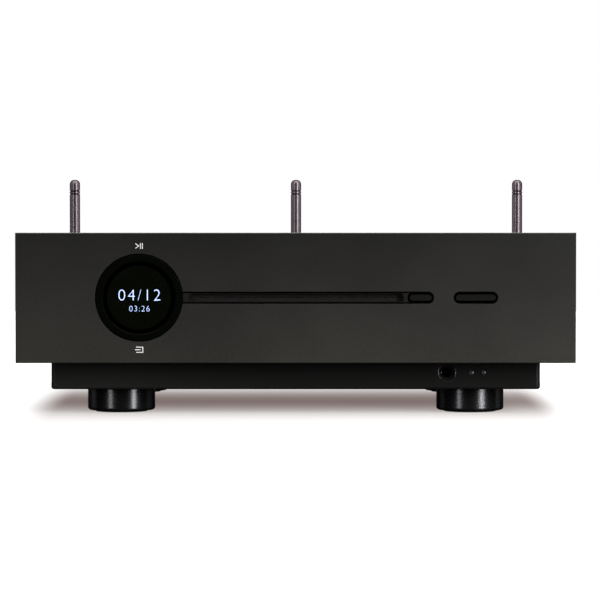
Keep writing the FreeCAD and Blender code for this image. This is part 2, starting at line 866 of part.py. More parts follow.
def rear_panel():
    """Folded rear panel whose side returns reach forward to the heat sinks."""
    body = new_piece("rear_panel")
    inside = "chassis_side - sheet"
    outline = [
        ("-chassis_side", "sink_back"),
        (f"-({inside})", "sink_back"),
        (f"-({inside})", "rear_inner"),
        (inside, "rear_inner"),
        (inside, "sink_back"),
        ("chassis_side", "sink_back"),
        ("chassis_side", "rear_face"),
        ("-chassis_side", "rear_face"),
    ]
    pad(body, "Z", "body_floor", "cover_under", polygon(outline))
    soften(body, "Fillet", "bend_radius", upright_at("chassis_side", "rear_face"))
    inlet = box(
        "inlet_across - inlet_width / 2 - fit_gap",
        "inlet_across + inlet_width / 2 + fit_gap",
        "inlet_bottom - fit_gap",
        "inlet_bottom + inlet_height + fit_gap",
    )
    sockets = (
        ("network_across", "network_width", "network_height"),
        ("usb_across", "usb_width", "usb_height"),
        ("optical_across", "optical_side", "optical_side"),
    )
    windows = [
        box_at(across, f"board_top + {height} / 2", f"{width} + 2 * fit_gap", f"{height} + 2 * fit_gap")
        for across, width, height in sockets
    ]
    pocket(body, "Y", "rear_inner", "rear_face", inlet, *windows)
    rounds = [disc(across, up, "rca_radius + fit_gap") for across, up in RCA_PLACES]
    rounds += [disc(across, "post_up", "post_stud_radius + post_collar + fit_gap") for across in POST_PLACES]
    rounds += [disc(across, "aerial_up", "barrel_radius + fit_gap") for across in AERIALS.values()]
    rounds += [disc(across, up, "screw_radius + screw_clearance") for across, up in REAR_SCREWS]
    pocket(body, "Y", "rear_inner", "rear_face", *rounds)


def plinth():
    """Open-topped plinth with rounded edges, bosses for the feet and holes for the socket and lenses."""
    body = new_piece("plinth")
    side = "plinth_side"
    outline = rounded(f"-{side}", side, "plinth_front", "plinth_back", "plinth_corner")
    pad(body, "Z", "foot_height", "body_floor", outline)
    soften(body, "Fillet", "plinth_edge", flat_at("foot_height", "Z"))
    room = box(
        f"-{side} + plinth_wall",
        f"{side} - plinth_wall",
        "plinth_front + plinth_wall",
        "plinth_back - plinth_wall",
    )
    pocket(body, "Z", "plinth_floor", "body_floor", room)
    bosses = [disc(across, back, "foot_boss_radius") for across, back in FEET]
    pad(body, "Z", "plinth_floor", "plinth_floor + foot_boss_height", *bosses)
    screws = [disc(across, back, "foot_screw_radius + screw_clearance") for across, back in FEET]
    pocket(body, "Z", "foot_height", "plinth_floor + foot_boss_height", *screws)
    jack = disc("headphone_across", "headphone_rise", "headphone_radius + bearing_gap")
    lenses = [
        disc(across, "headphone_rise", "lens_radius + bearing_gap")
        for across in ("lens_first_across", "lens_second_across")
    ]
    pocket(body, "Y", "plinth_front", "plinth_front + plinth_wall", jack, *lenses)


def feet():
    """Turned feet with their rubber pads and screws."""
    body = new_piece("feet")
    pad(body, "Z", "pad_stand", "foot_height", *[disc(x, y, "foot_radius") for x, y in FEET])
    soften(body, "Fillet", "foot_edge", flat_at("pad_stand", "Z"))
    recess = [disc(x, y, "pad_radius + fit_gap") for x, y in FEET]
    pocket(body, "Z", "pad_stand", "pad_stand + pad_depth", *recess)
    wells = [disc(x, y, "2 * foot_screw_radius + fit_gap") for x, y in FEET]
    pocket(body, "Z", "pad_stand", "foot_height / 2", *wells)
    holes = [disc(x, y, "foot_screw_radius + screw_clearance") for x, y in FEET]
    pocket(body, "Z", "foot_height / 2", "foot_height", *holes)

    pads = new_piece("foot_pads")
    rounds = [disc(x, y, "pad_radius") for x, y in FEET]
    rounds += [disc(x, y, "2 * foot_screw_radius + fit_gap") for x, y in FEET]
    pad(pads, "Z", "0", "pad_stand + pad_depth", *rounds)

    screws = new_piece("foot_screws")
    heads = [disc(x, y, "2 * foot_screw_radius") for x, y in FEET]
    pad(screws, "Z", "foot_height / 2 - 2 * foot_screw_radius", "foot_height / 2", *heads)
    shanks = [disc(x, y, "foot_screw_radius") for x, y in FEET]
    pad(screws, "Z", "foot_height / 2", "plinth_floor + foot_boss_height", *shanks)


def screws():
    """Screws of the cover, the rear panel and the front panel."""
    case = new_piece("case_screws")
    flush = [disc(x, y, "screw_head_radius") for x, y in COVER_SCREWS]
    pad(case, "Z", "cover_under", "cover_top", *flush)
    down = [disc(x, y, "screw_radius") for x, y in COVER_SCREWS]
    pad(case, "Z", "cover_under - screw_length + screw_end_gap", "cover_under", *down)
    heads = [disc(x, z, "screw_head_radius") for x, z in REAR_SCREWS]
    pad(case, "Y", "rear_face", "rear_face + screw_head_height", *heads)
    forward = [disc(x, z, "screw_radius") for x, z in REAR_SCREWS]
    pad(case, "Y", "rear_face - screw_length", "rear_face", *forward)

    down_sockets = [hexagon(f"({x})", f"({y})", "screw_socket") for x, y in COVER_SCREWS]
    pocket(case, "Z", "cover_top - screw_socket_depth", "cover_top", *down_sockets)
    back_sockets = [hexagon(x, f"({z})", "screw_socket") for x, z in REAR_SCREWS]
    heads_end = "rear_face + screw_head_height"
    pocket(case, "Y", f"{heads_end} - screw_socket_depth", heads_end, *back_sockets)

    panel = new_piece("panel_screws")
    heads = [disc(x, z, "screw_head_radius") for x, z in PANEL_SCREWS]
    pad(panel, "Y", "wall_back", "wall_back + screw_head_height", *heads)
    shanks = [disc(x, z, "screw_radius") for x, z in PANEL_SCREWS]
    pad(panel, "Y", "panel_back - screw_length + screw_end_gap", "wall_back", *shanks)


# Display and control ring, each piece about the middle of the dial and counted back from the panel's face

def dial_piece(label):
    """Start a piece at the middle of the dial."""
    return new_piece(label, "dial_across", "panel_front", "control_up")


def display():
    """Round glass, the display module behind it and the fixed cup that holds both."""
    glass = dial_piece("display_window")
    back = "window_sink + window_thickness"
    turn(glass, "Y", [
        ("0", "window_sink"),
        ("window_radius - 2 * window_sink", "window_sink"),
        ("window_radius", "3 * window_sink"),
        ("window_radius", back),
        ("0", back),
    ])

    inside = "window_radius - holder_wall"
    module = dial_piece("display_module")
    turn(module, "Y", [
        ("0", f"{back} + fit_gap"),
        (f"{inside} - fit_gap", f"{back} + fit_gap"),
        (f"{inside} - fit_gap", f"{back} + module_depth / 2"),
        (f"{inside} - holder_wall", f"{back} + module_depth / 2"),
        (f"{inside} - holder_wall", f"{back} + module_depth"),
        ("0", f"{back} + module_depth"),
    ])

    holder = dial_piece("display_holder")
    turn(holder, "Y", [
        ("cable_hole_radius", "holder_depth"),
        (inside, "holder_depth"),
        (inside, back),
        ("window_radius", back),
        ("window_radius", "holder_depth"),
        ("holder_flange_radius", "holder_depth"),
        ("holder_flange_radius", "plate_front"),
        ("cable_hole_radius", "plate_front"),
    ])


def control_ring():
    """Ring that turns round the display, with a skirt that runs on the cradle's sleeve."""
    body = dial_piece("control_ring")
    turn(body, "Y", [
        ("ring_inner", "ring_edge"),
        ("ring_inner + ring_edge", "0"),
        ("ring_outer - ring_edge", "0"),
        ("ring_outer", "ring_edge"),
        ("ring_outer", "ring_depth"),
        ("ring_outer - ring_edge", "ring_depth + ring_skirt / 2"),
        ("ring_outer - ring_edge", "ring_depth + ring_skirt"),
        ("sleeve_outer + bearing_gap", "ring_depth + ring_skirt"),
        ("sleeve_outer + bearing_gap", "ring_depth"),
        ("ring_inner", "ring_depth"),
    ])


def control_cradle():
    """Rocking cradle: sleeve for the ring, round plate and two trunnions on a level axis."""
    body = dial_piece("control_cradle")
    turn(body, "Y", [
        ("ring_inner", "ring_depth + bearing_gap"),
        ("sleeve_outer", "ring_depth + bearing_gap"),
        ("sleeve_outer", "cradle_front"),
        ("cradle_radius", "cradle_front"),
        ("cradle_radius", "cradle_back"),
        ("ring_inner", "cradle_back"),
    ])
    for side in ("-", ""):
        near = f"{side} (cradle_radius - trunnion_radius)"
        far = f"{side} (cradle_radius + trunnion_length)"
        first, last = (far, near) if side else (near, far)
        pad(body, "X", first, last, disc("rock_axis_depth", "0", "trunnion_radius"))


def control_bracket():
    """Fixed plate behind the display, with posts to the tray's wall and two lugs that hold the trunnions."""
    body = dial_piece("control_bracket")
    plate = box_at("0", "0", "bracket_width", "bracket_height")
    pad(body, "Y", "plate_front", "plate_back", plate)
    pocket(body, "Y", "plate_front", "plate_back", disc("0", "0", "cable_hole_radius"))
    corner = [
        (f"{a} (bracket_width / 2 - bracket_post_inset)", f"{b} (bracket_height / 2 - bracket_post_inset)")
        for a in ("-", "")
        for b in ("-", "")
    ]
    posts = [disc(across, up, "bracket_post_radius") for across, up in corner]
    pad(body, "Y", "panel_thickness + sheet", "plate_front", *posts)
    for side in ("-", ""):
        near = f"{side} lug_inner"
        far = f"{side} (lug_inner + lug_width)"
        lug = box(near, far, "-lug_height / 2", "lug_height / 2")
        pad(body, "Y", "panel_thickness + sheet", "plate_front", lug)
        first, last = (far, near) if side else (near, far)
        hole = disc("rock_axis_depth", "0", "trunnion_radius + trunnion_gap")
        pocket(body, "X", first, last, hole)


def control_board():
    """Round board on the holder, with a switch under the top and the bottom of the cradle."""
    body = dial_piece("control_board")
    front = "holder_depth - board_thickness"
    ring = [disc("0", "0", "cradle_radius"), disc("0", "0", "window_radius + fit_gap")]
    pad(body, "Y", front, "holder_depth", *ring)
    reach = "(cradle_radius + window_radius) / 2"
    switches = [box_at("0", f"{side} {reach}", "switch_side", "switch_side") for side in ("-", "")]
    pad(body, "Y", "cradle_back + rock_gap", front, *switches)


def button_cap(label, left, right):
    """Push button: face and sloped flanks, body, retaining flange behind the panel and stem."""
    middle = f"(({left}) + ({right})) / 2"
    body = new_piece(label, middle, "panel_front", "control_up")
    half = f"((({right}) - ({left})) / 2 - cap_gap)"
    full = slot(f"-{half}", half, "0", "cap_radius_full")
    face = slot(f"-({half} - cap_face_inset)", f"{half} - cap_face_inset", "0", "cap_face_height / 2")
    loft(body, "Y", "cap_sink", face, "cap_flank", full)
    full = slot(f"-{half}", half, "0", "cap_radius_full")
    behind = "panel_thickness + fit_gap"
    pad(body, "Y", "cap_flank", behind, full)
    flange = slot(f"-({half} + cap_flange)", f"{half} + cap_flange", "0", "cap_radius_full + cap_flange")
    pad(body, "Y", behind, f"{behind} + cap_flange_thickness", flange)
    stem = f"{behind} + cap_flange_thickness"
    pad(body, "Y", stem, f"{stem} + cap_stem_length", disc("0", "0", "cap_stem_radius"))


def buttons():
    """Standby and eject buttons and the board that carries their switches."""
    button_cap("standby_button", "standby_left", "standby_right")
    button_cap("eject_button", "eject_left", "groove_right")
    board = new_piece("button_board", "0", "panel_front", "control_up")
    left = "eject_left - button_switch_side"
    right = "standby_right + button_switch_side"
    back = "button_board_depth + board_thickness"
    height = "button_board_height / 2"
    pad(board, "Y", "button_board_depth", back, box(left, right, f"-{height}", height))
    stem_end = "panel_thickness + fit_gap + cap_flange_thickness + cap_stem_length"
    switch_front = f"{stem_end} + button_travel + fit_gap"
    places = ("(eject_left + groove_right) / 2", "standby_across")
    switches = [box_at(across, "0", "button_switch_side", "button_switch_side") for across in places]
    pad(board, "Y", switch_front, "button_board_depth", *switches)
    middle = "(groove_right + standby_left) / 2"
    spacers = [disc(middle, f"{side} ({height} - stud_radius)", "stud_radius / 2") for side in ("-", "")]
    pad(board, "Y", "panel_thickness + sheet", "button_board_depth", *spacers)


def headphone_parts():
    """Socket ring, socket, lenses and their board inside the plinth."""
    ring = new_piece("headphone_ring", "headphone_across", "plinth_front", "headphone_rise")
    turn(ring, "Y", [
        ("headphone_radius - headphone_rim", "-headphone_proud"),
        ("headphone_radius", "-headphone_proud"),
        ("headphone_radius", "plinth_wall"),
        ("headphone_radius - headphone_rim", "plinth_wall"),
    ])
    jack = new_piece("headphone_jack", "headphone_across", "plinth_front", "headphone_rise")
    nose = disc("0", "0", "headphone_radius - headphone_rim - bearing_gap")
    pad(jack, "Y", "headphone_dish", "plinth_wall + fit_gap", nose)
    shell = box_at("0", "0", "jack_side", "jack_side")
    pad(jack, "Y", "plinth_wall + fit_gap", "plinth_wall + jack_length", shell)
    bore = disc("0", "0", "headphone_bore_radius")
    pocket(jack, "Y", "headphone_dish", "jack_length - headphone_bore_radius", bore)

    lenses = new_piece("indicator_lenses", "0", "plinth_front", "headphone_rise")
    middles = ("lens_first_across", "lens_second_across")
    rounds = [disc(across, "0", "lens_radius") for across in middles]
    pad(lenses, "Y", "-lens_proud", "lens_length", *rounds)
    soften(lenses, "Fillet", "lens_proud", flat_at("-lens_proud", "Y"))

    board = new_piece("headphone_board", "0", "plinth_front", "plinth_floor")
    under = "headphone_rise - plinth_floor - jack_side / 2"
    left = "headphone_across - jack_side"
    right = "lens_second_across + jack_side / 2"
    outline = box(left, right, "plinth_wall + 2 * fit_gap", "plinth_wall + jack_length - jack_overhang")
    pad(board, "Z", "fit_gap", under, outline)
    for across in middles:
        stand = box_at(across, "lens_length + light_gap", "lens_radius * 2", "light_depth")
        pad(board, "Z", under, "headphone_rise - plinth_floor + lens_radius", stand)


# Power and boards

def transformer():
    """Ring-core transformer, clamped to the tray by a washer and a bolt."""
    place = ("transformer_across", "transformer_back", "tray_floor")
    core = new_piece("power_transformer", *place)
    turn(core, "Z", [
        ("transformer_bore", "fit_gap"),
        ("transformer_radius", "fit_gap"),
        ("transformer_radius", "transformer_height"),
        ("transformer_bore", "transformer_height"),
    ])
    soften(core, "Fillet", "transformer_round", lambda b: b.ZLength < 1e-4)
    clamp = new_piece("transformer_clamp", *place)
    top = "transformer_height + clamp_thickness"
    turn(clamp, "Z", [
        ("0", "0"),
        ("clamp_bolt_radius", "0"),
        ("clamp_bolt_radius", "transformer_height"),
        ("clamp_radius", "transformer_height"),
        ("clamp_radius", top),
        ("clamp_nut_radius", top),
        ("clamp_nut_radius", f"{top} + clamp_nut_height"),
        ("0", f"{top} + clamp_nut_height"),
    ])


def boards():
    """Supply board with its capacitors, amplifier boards with their transistors, and the main board."""
    supply = new_piece("power_supply_board")
    outline = box("supply_left", "supply_right", "supply_start", "supply_end")
    pad(supply, "Z", "board_under", "board_top", outline)
    capacitors = new_piece("smoothing_capacitors")
    cans = [
        disc(
            f"(supply_left + supply_right {a} capacitor_spacing) / 2",
            f"(supply_start + supply_end {b} capacitor_spacing) / 2",
            "capacitor_radius",
        )
        for a in "-+"
        for b in "-+"
    ]
    pad(capacitors, "Z", "board_top", "board_top + capacitor_height", *cans)
    soften(capacitors, "Fillet", "capacitor_radius / 8", flat_at("board_top + capacitor_height", "Z"))

    amplifier = new_piece("amplifier_boards")
    for side in ("-", ""):
        outer = f"{side} (sink_inner - fit_gap)"
        outline = box(f"{side} amplifier_inner", outer, "amplifier_start", "amplifier_end")
        pad(amplifier, "Z", "board_under", "board_top", outline)
        coil_across = f"{side} (amplifier_inner + coil_inset)"
        coil = disc(coil_across, "amplifier_start + coil_setback", "capacitor_radius")
        pad(amplifier, "Z", "board_top", "board_top + capacitor_radius", coil)
    transistors = new_piece("output_transistors")
    for side in ("-", ""):
        for step in range(4):
            middle = f"(amplifier_start + amplifier_end) / 2 + {step - 1.5} * transistor_pitch"
            wall = f"{side} sink_inner"
            away = f"{side} (sink_inner - transistor_thickness)"
            half = "transistor_width / 2"
            case = box(wall, away, f"{middle} - {half}", f"{middle} + {half}")
            low = "board_top + transistor_rise"
            pad(transistors, "Z", low, f"{low} + transistor_height", case)
            leg_across = f"{side} (sink_inner - transistor_thickness / 2)"
            leg = box_at(leg_across, middle, "transistor_leg", half)
            pad(transistors, "Z", "board_top", low, leg)

    main = new_piece("main_board")
    pad(main, "Z", "board_under", "board_top", polygon([
        ("-main_side", "main_start"),
        ("main_side", "main_start"),
        ("main_side", "socket_board_front"),
        ("socket_board_outer", "socket_board_front"),
        ("socket_board_outer", "rear_inner - fit_gap"),
        ("socket_board_inner", "rear_inner - fit_gap"),
        ("socket_board_inner", "main_back"),
        ("-main_side", "main_back"),
    ]))
    pillar_hole = disc(*DRIVE_EARS[-1], "pillar_radius + board_gap / 4")
    pocket(main, "Z", "board_under", "board_top", pillar_hole)
    can = box_at("0", "main_start + can_length", "can_width", "can_length")
    chip_side = "3 * can_height"
    chip = box_at("socket_board_middle", "rear_inner - can_width", chip_side, chip_side)
    pad(main, "Z", "board_top", "board_top + can_height", can)
    pad(main, "Z", "board_top", "board_top + can_height / 3", chip)


# Disc drive

def disc_drive():
    """Slot-fed drive: frame, lid, grommets, motor, turntable, roller, laser sled and its rods."""
    frame = new_piece("drive_frame")
    outline = box("drive_left", "drive_right", "drive_start", "drive_end")
    pad(frame, "Z", "drive_floor", "drive_top", outline)
    room = box(
        "drive_left + drive_sheet",
        "drive_right - drive_sheet",
        "drive_start + drive_sheet",
        "drive_end - drive_sheet",
    )
    pocket(frame, "Z", "drive_inner_floor", "drive_top", room)
    mouth = box_at("drive_across", "control_up", "2 * disc_radius + drive_mouth_room", "drive_mouth_height")
    pocket(frame, "Y", "drive_start", "drive_start + drive_sheet", mouth)
    for side, (across, back) in enumerate(DRIVE_EARS):
        inner = "drive_left" if side < 2 else "drive_right"
        outer = "drive_left - drive_ear" if side < 2 else "drive_right + drive_ear"
        ear = box(inner, outer, f"{back} - drive_ear_length / 2", f"{back} + drive_ear_length / 2")
        low = "drive_floor + drive_ear_rise"
        pad(frame, "Z", low, f"{low} + drive_sheet", ear)
    low = "drive_floor + drive_ear_rise"
    holes = [disc(x, y, "grommet_bore") for x, y in DRIVE_EARS]
    pocket(frame, "Z", low, f"{low} + drive_sheet", *holes)
    axle = disc("roller_line", "control_up - roller_below", "roller_shaft_radius + trunnion_gap")
    pocket(frame, "X", "drive_left", "drive_left + drive_sheet", axle)
    pocket(frame, "X", "drive_right - drive_sheet", "drive_right", axle)

    lid = new_piece("drive_lid")
    pad(lid, "Z", "drive_top", "drive_top + drive_sheet", outline)
    boss = disc("drive_across", "disc_middle", "turntable_radius * 1.5")
    pad(lid, "Z", "drive_top - drive_sheet", "drive_top", boss)

    grommets = new_piece("drive_grommets")
    rings = [disc(x, y, "grommet_radius") for x, y in DRIVE_EARS]
    rings += [disc(x, y, "grommet_bore") for x, y in DRIVE_EARS]
    pad(grommets, "Z", "tray_floor + pillar_height", low, *rings)

    middle = ("drive_across", "disc_middle", "drive_inner_floor")
    motor = new_piece("spindle_motor", *middle)
    turn(motor, "Z", [
        ("0", "0"),
        ("spindle_motor_radius", "0"),
        ("spindle_motor_radius", "spindle_motor_height - spindle_motor_edge"),
        ("spindle_motor_radius - spindle_motor_edge", "spindle_motor_height"),
        ("0", "spindle_motor_height"),
    ])
    table = new_piece("disc_turntable", *middle)
    seat = "control_up - drive_inner_floor - disc_thickness / 2"
    turn(table, "Z", [
        ("0", "spindle_motor_height + fit_gap"),
        ("hub_radius / 2", "spindle_motor_height + fit_gap"),
        ("hub_radius / 2", f"{seat} - turntable_thickness"),
        ("turntable_radius", f"{seat} - turntable_thickness"),
        ("turntable_radius", seat),
        ("hub_radius", seat),
        ("hub_radius * 0.8", f"{seat} + hub_height"),
        ("0", f"{seat} + hub_height"),
    ])

    roller = new_piece("loading_roller", "drive_across", "roller_line", "control_up - roller_below")
    half = "roller_length / 2"
    reach = "drive_width / 2"
    turn(roller, "X", [
        ("0", f"-({reach})"),
        ("roller_shaft_radius", f"-({reach})"),
        ("roller_shaft_radius", f"-({half})"),
        ("roller_radius", f"-({half})"),
        ("roller_waist", "0"),
        ("roller_radius", half),
        ("roller_shaft_radius", half),
        ("roller_shaft_radius", reach),
        ("0", reach),
    ])

    start = "disc_middle + sled_start"
    sled = new_piece("laser_sled", "drive_across", start, "drive_inner_floor")
    block = box_at("0", "0", "sled_width", "sled_length")
    sled_top = "sled_rise + sled_height"
    pad(sled, "Z", "sled_rise", sled_top, block)
    pad(sled, "Z", sled_top, f"{sled_top} + lens_barrel_height", disc("0", "0", "lens_barrel_radius"))
    rod_up = "sled_rise + sled_height / 2"
    rod_places = [f"{side} rod_spacing / 2" for side in ("-", "")]
    bores = [disc(across, rod_up, "rod_radius + rod_gap") for across in rod_places]
    pocket(sled, "Y", "-sled_length / 2", "sled_length / 2", *bores)

    rods = new_piece("sled_rods", "drive_across", start, "drive_inner_floor")
    first = "-sled_length / 2 - rod_overhang"
    last = "drive_end - drive_sheet - disc_middle - sled_start"
    pad(rods, "Y", first, last, *[disc(across, rod_up, "rod_radius") for across in rod_places])
    post_back = f"{first} + rod_post_depth / 2"
    posts = [box_at(across, post_back, "rod_post_width", "rod_post_depth") for across in rod_places]
    pad(rods, "Z", "0", sled_top, *posts)


# Rear sockets, counted from the rear panel's outer face

RCA_PLACES = [
    (f"rca_first_across + {column} * rca_spacing", f"body_floor + rca_rise + {row} * rca_row_spacing")
    for column in range(3)
    for row in range(2)
]
POST_PLACES = [
    "post_first_across",
    "post_first_across + post_spacing",
    "post_first_across + post_pair_spacing",
    "post_first_across + post_pair_spacing + post_spacing",
]
AERIALS = {"left": "-aerial_across", "centre": "0", "right": "aerial_across"}


def mains_inlet():
    """Inlet and switch housing in one piece, with three pins, and the rocker that tips in it."""
    body = new_piece("mains_inlet", "inlet_across", "rear_face", "inlet_bottom")
    width = "inlet_width / 2"
    pad(body, "Y", "-inlet_depth", "0", box(f"-{width}", width, "0", "inlet_height"))
    rim = rounded(
        f"-({width} + inlet_flange)",
        f"{width} + inlet_flange",
        "-inlet_flange",
        "inlet_height + inlet_flange",
        "inlet_flange",
    )
    pad(body, "Y", "0", "inlet_flange_thickness", rim)
    across = "cavity_width / 2"
    low = "cavity_rise - cavity_height / 2"
    high = "cavity_rise + cavity_height / 2"
    corner = "cavity_height / 4"
    cavity = polygon([
        (f"-{across}", low),
        (across, low),
        (across, f"{high} - {corner}"),
        (f"{across} - {corner}", high),
        (f"-{across} + {corner}", high),
        (f"-{across}", f"{high} - {corner}"),
    ])
    floor = "inlet_flange_thickness - cavity_depth"
    pocket(body, "Y", floor, "inlet_flange_thickness", cavity)
    pins = [box_at(f"{side} pin_spacing", "cavity_rise", "pin_width", "pin_height") for side in ("-", "")]
    pins.append(box_at("0", "cavity_rise + earth_rise", "pin_width", "pin_height"))
    pad(body, "Y", floor, f"{floor} + pin_length", *pins)
    well = box_at("0", "rocker_rise", "rocker_width + 4 * fit_gap", "rocker_height + 4 * fit_gap")
    pocket(body, "Y", "-rocker_well", "inlet_flange_thickness", well)

    axis = ("inlet_across", "rear_face - rocker_axis_depth", "inlet_bottom + rocker_rise")
    rocker = new_piece("mains_rocker", *axis)
    half_profile = [
        (-160, "rocker_axis_depth"),
        (-110, "(rocker_height / 2 - rocker_relief)"),
        (-56, "(rocker_height / 2 + fit_gap)"),
    ]
    crease = [(0, "(rocker_axis_depth + inlet_flange_thickness)")]
    other_half = [(-angle, reach) for angle, reach in reversed(half_profile)]
    profile = polygon([
        (f"{reach} * cos({angle} - rocker_tilt)", f"{reach} * sin({angle} - rocker_tilt)")
        for angle, reach in half_profile + crease + other_half
    ])
    pad(rocker, "X", "-rocker_width / 2", "rocker_width / 2", profile)
    stub = disc("0", "0", "trunnion_radius")
    pad(rocker, "X", "-rocker_width / 2 - fit_gap", "rocker_width / 2 + fit_gap", stub)


def line_sockets():
    """Round line sockets, the network socket and the two data sockets."""
    body = new_piece("rca_sockets")
    behind = "rear_face - rca_body_length"
    pad(body, "Y", behind, "rear_face", *[disc(x, z, "rca_radius") for x, z in RCA_PLACES])
    nuts = [disc(x, z, "rca_nut_radius") for x, z in RCA_PLACES]
    pad(body, "Y", "rear_face", "rear_face + rca_nut_thickness", *nuts)
    barrels = [disc(x, z, "rca_radius") for x, z in RCA_PLACES]
    front = "rear_face + rca_nut_thickness + rca_length"
    pad(body, "Y", "rear_face + rca_nut_thickness", front, *barrels)
    recesses = [disc(x, z, "rca_recess_radius") for x, z in RCA_PLACES]
    pocket(body, "Y", f"{front} - rca_recess", front, *recesses)
    bores = [disc(x, z, "rca_pin_radius") for x, z in RCA_PLACES]
    pocket(body, "Y", f"{front} - rca_length", f"{front} - rca_recess", *bores)

    network = new_piece("network_socket", "network_across", "rear_face + socket_proud", "board_top")
    outline = box("-network_width / 2", "network_width / 2", "0", "network_height")
    pad(network, "Y", "-network_length", "0", outline)
    mouth_low = "(network_height - network_mouth_height) / 2"
    half = "network_mouth_width / 2"
    mouth = box(f"-{half}", half, mouth_low, f"{mouth_low} + network_mouth_height")
    notch = box(f"-{half} / 2", f"{half} / 2", f"{mouth_low} - network_notch", mouth_low)
    pocket(network, "Y", "-network_mouth_depth", "0", mouth)
    pocket(network, "Y", "-network_mouth_depth", "0", notch)

    data = new_piece("data_sockets", "0", "rear_face + socket_proud", "board_top")
    shell = box("usb_across - usb_width / 2", "usb_across + usb_width / 2", "0", "usb_height")
    pad(data, "Y", "-usb_length", "0", shell)
    inner = box(
        "usb_across - usb_width / 2 + usb_wall",
        "usb_across + usb_width / 2 - usb_wall",
        "usb_wall",
        "usb_height - usb_wall",
    )
    back_wall = "usb_back_wall - usb_length"
    pocket(data, "Y", back_wall, "0", inner)
    low = "usb_height - usb_wall - usb_tongue_drop"
    tongue = box("usb_across - usb_width / 3", "usb_across + usb_width / 3", low, f"{low} + usb_tongue")
    pad(data, "Y", back_wall, "-usb_tongue_sink", tongue)
    case = box("optical_across - optical_side / 2", "optical_across + optical_side / 2", "0", "optical_side")
    pad(data, "Y", "-usb_length", "0", case)
    hole = box_at("optical_across", "optical_side / 2", "optical_mouth", "optical_mouth")
    pocket(data, "Y", "-optical_depth", "0", hole)


def binding_posts():
    """Insulated posts with a bored stud, and the fluted caps that screw along them."""
    bases = new_piece("binding_post_bases")
    inside = [disc(x, "post_up", "post_stud_radius + post_collar") for x in POST_PLACES]
    pad(bases, "Y", "rear_inner - post_body_length", "rear_face", *inside)
    flanges = [disc(x, "post_up", "post_flange_radius") for x in POST_PLACES]
    neck_start = "rear_face + post_flange_thickness"
    pad(bases, "Y", "rear_face", neck_start, *flanges)
    necks = [disc(x, "post_up", "cap_radius - post_collar") for x in POST_PLACES]
    pad(bases, "Y", neck_start, "cap_start - fit_gap", *necks)
    studs = [disc(x, "post_up", "post_stud_radius") for x in POST_PLACES]
    tip = "overall_depth / 2 - post_stud_short"
    pad(bases, "Y", "cap_start - fit_gap", tip, *studs)
    bores = [disc(x, "post_up", "post_bore_radius") for x in POST_PLACES]
    pocket(bases, "Y", f"{tip} - post_bore_depth", tip, *bores)

    for index, across in enumerate(POST_PLACES, 1):
        cap = new_piece(f"binding_post_cap_{index}", across, "cap_start", "post_up")
        length = "overall_depth / 2 - cap_start"
        rings = [disc("0", "0", "cap_radius"), disc("0", "0", "post_stud_radius + cap_gap_radial")]
        pad(cap, "Y", "0", length, *rings)
        groove = disc("0", "cap_radius + flute_radius / 3", "flute_radius")
        flute = pocket(cap, "Y", "flute_start", length, groove)
        flutes = cap.newObject("PartDesign::PolarPattern", "Flutes")
        flutes.Originals = [flute]
        flutes.Axis = (next(o for o in cap.Origin.OriginFeatures if o.Role == "Y_Axis"), [""])
        flutes.Angle = 360
        flutes.setExpression("Occurrences", formula("flute_count"))
        cap.Tip = flutes


def aerials():
    """Three short rods, each on a knuckle that swivels on its socket."""
    sockets = new_piece("aerial_sockets")
    places = list(AERIALS.values())
    nuts = [hexagon(x, "aerial_up", "barrel_nut") for x in places]
    barrels = [disc(x, "aerial_up", "barrel_radius") for x in places]
    pad(sockets, "Y", "rear_inner - 2 * barrel_nut_thickness", "rear_face + barrel_length", *barrels)
    pad(sockets, "Y", "rear_face", "rear_face + barrel_nut_thickness", *nuts)

    for label, across in AERIALS.items():
        knuckle = new_piece(f"aerial_knuckle_{label}", across, "aerial_line", "aerial_up")
        sleeve = [disc("0", "0", "sleeve_radius"), disc("0", "0", "barrel_radius + sleeve_gap")]
        begin = "barrel_nut_thickness + fit_gap - aerial_behind"
        inside = "barrel_length + fit_gap - aerial_behind"
        pad(knuckle, "Y", begin, inside, *sleeve)
        pad(knuckle, "Y", inside, f"{inside} + fit_gap", disc("0", "0", "sleeve_radius"))
        cheek_end = f"{inside} + fit_gap"
        for side in ("-", ""):
            near = f"{side} cheek_inner"
            far = f"{side} cheek_outer"
            strip = box(near, far, "-cheek_radius", "cheek_radius")
            pad(knuckle, "Y", f"{cheek_end}", "0", strip)
            first, last = (far, near) if side else (near, far)
            pad(knuckle, "X", first, last, disc("0", "0", "cheek_radius"))
        pad(knuckle, "X", "-cheek_inner", "cheek_inner", disc("0", "0", "hinge_pin_radius"))

        rod = new_piece(f"aerial_rod_{label}", across, "aerial_line", "aerial_up")
        first_groove = "aerial_tip - aerial_first_groove"
        profile = [("0", "aerial_foot"), ("aerial_radius", "aerial_foot")]
        for step in (1, 0):
            top = f"{first_groove} - {step} * aerial_groove_pitch"
            low = f"{top} - aerial_groove"
            bottom = "aerial_radius - aerial_groove_depth"
            profile += [("aerial_radius", low), (bottom, low), (bottom, top), ("aerial_radius", top)]
        profile += [("aerial_radius", "aerial_tip"), ("0", "aerial_tip")]
        turn(rod, "Z", profile)
        soften(rod, "Fillet", "aerial_round", flat_at("aerial_tip", "Z"))
        half = "(cheek_inner - tongue_gap)"
        pad(rod, "X", f"-{half}", half, disc("0", "0", "tongue_radius"))
        neck = box_at("0", "0", f"2 * {half}", "2 * tongue_radius")
        pad(rod, "Z", "tongue_radius / 2", "aerial_foot", neck)
        pocket(rod, "X", f"-{half}", half, disc("0", "0", "hinge_pin_radius + hinge_pin_gap"))


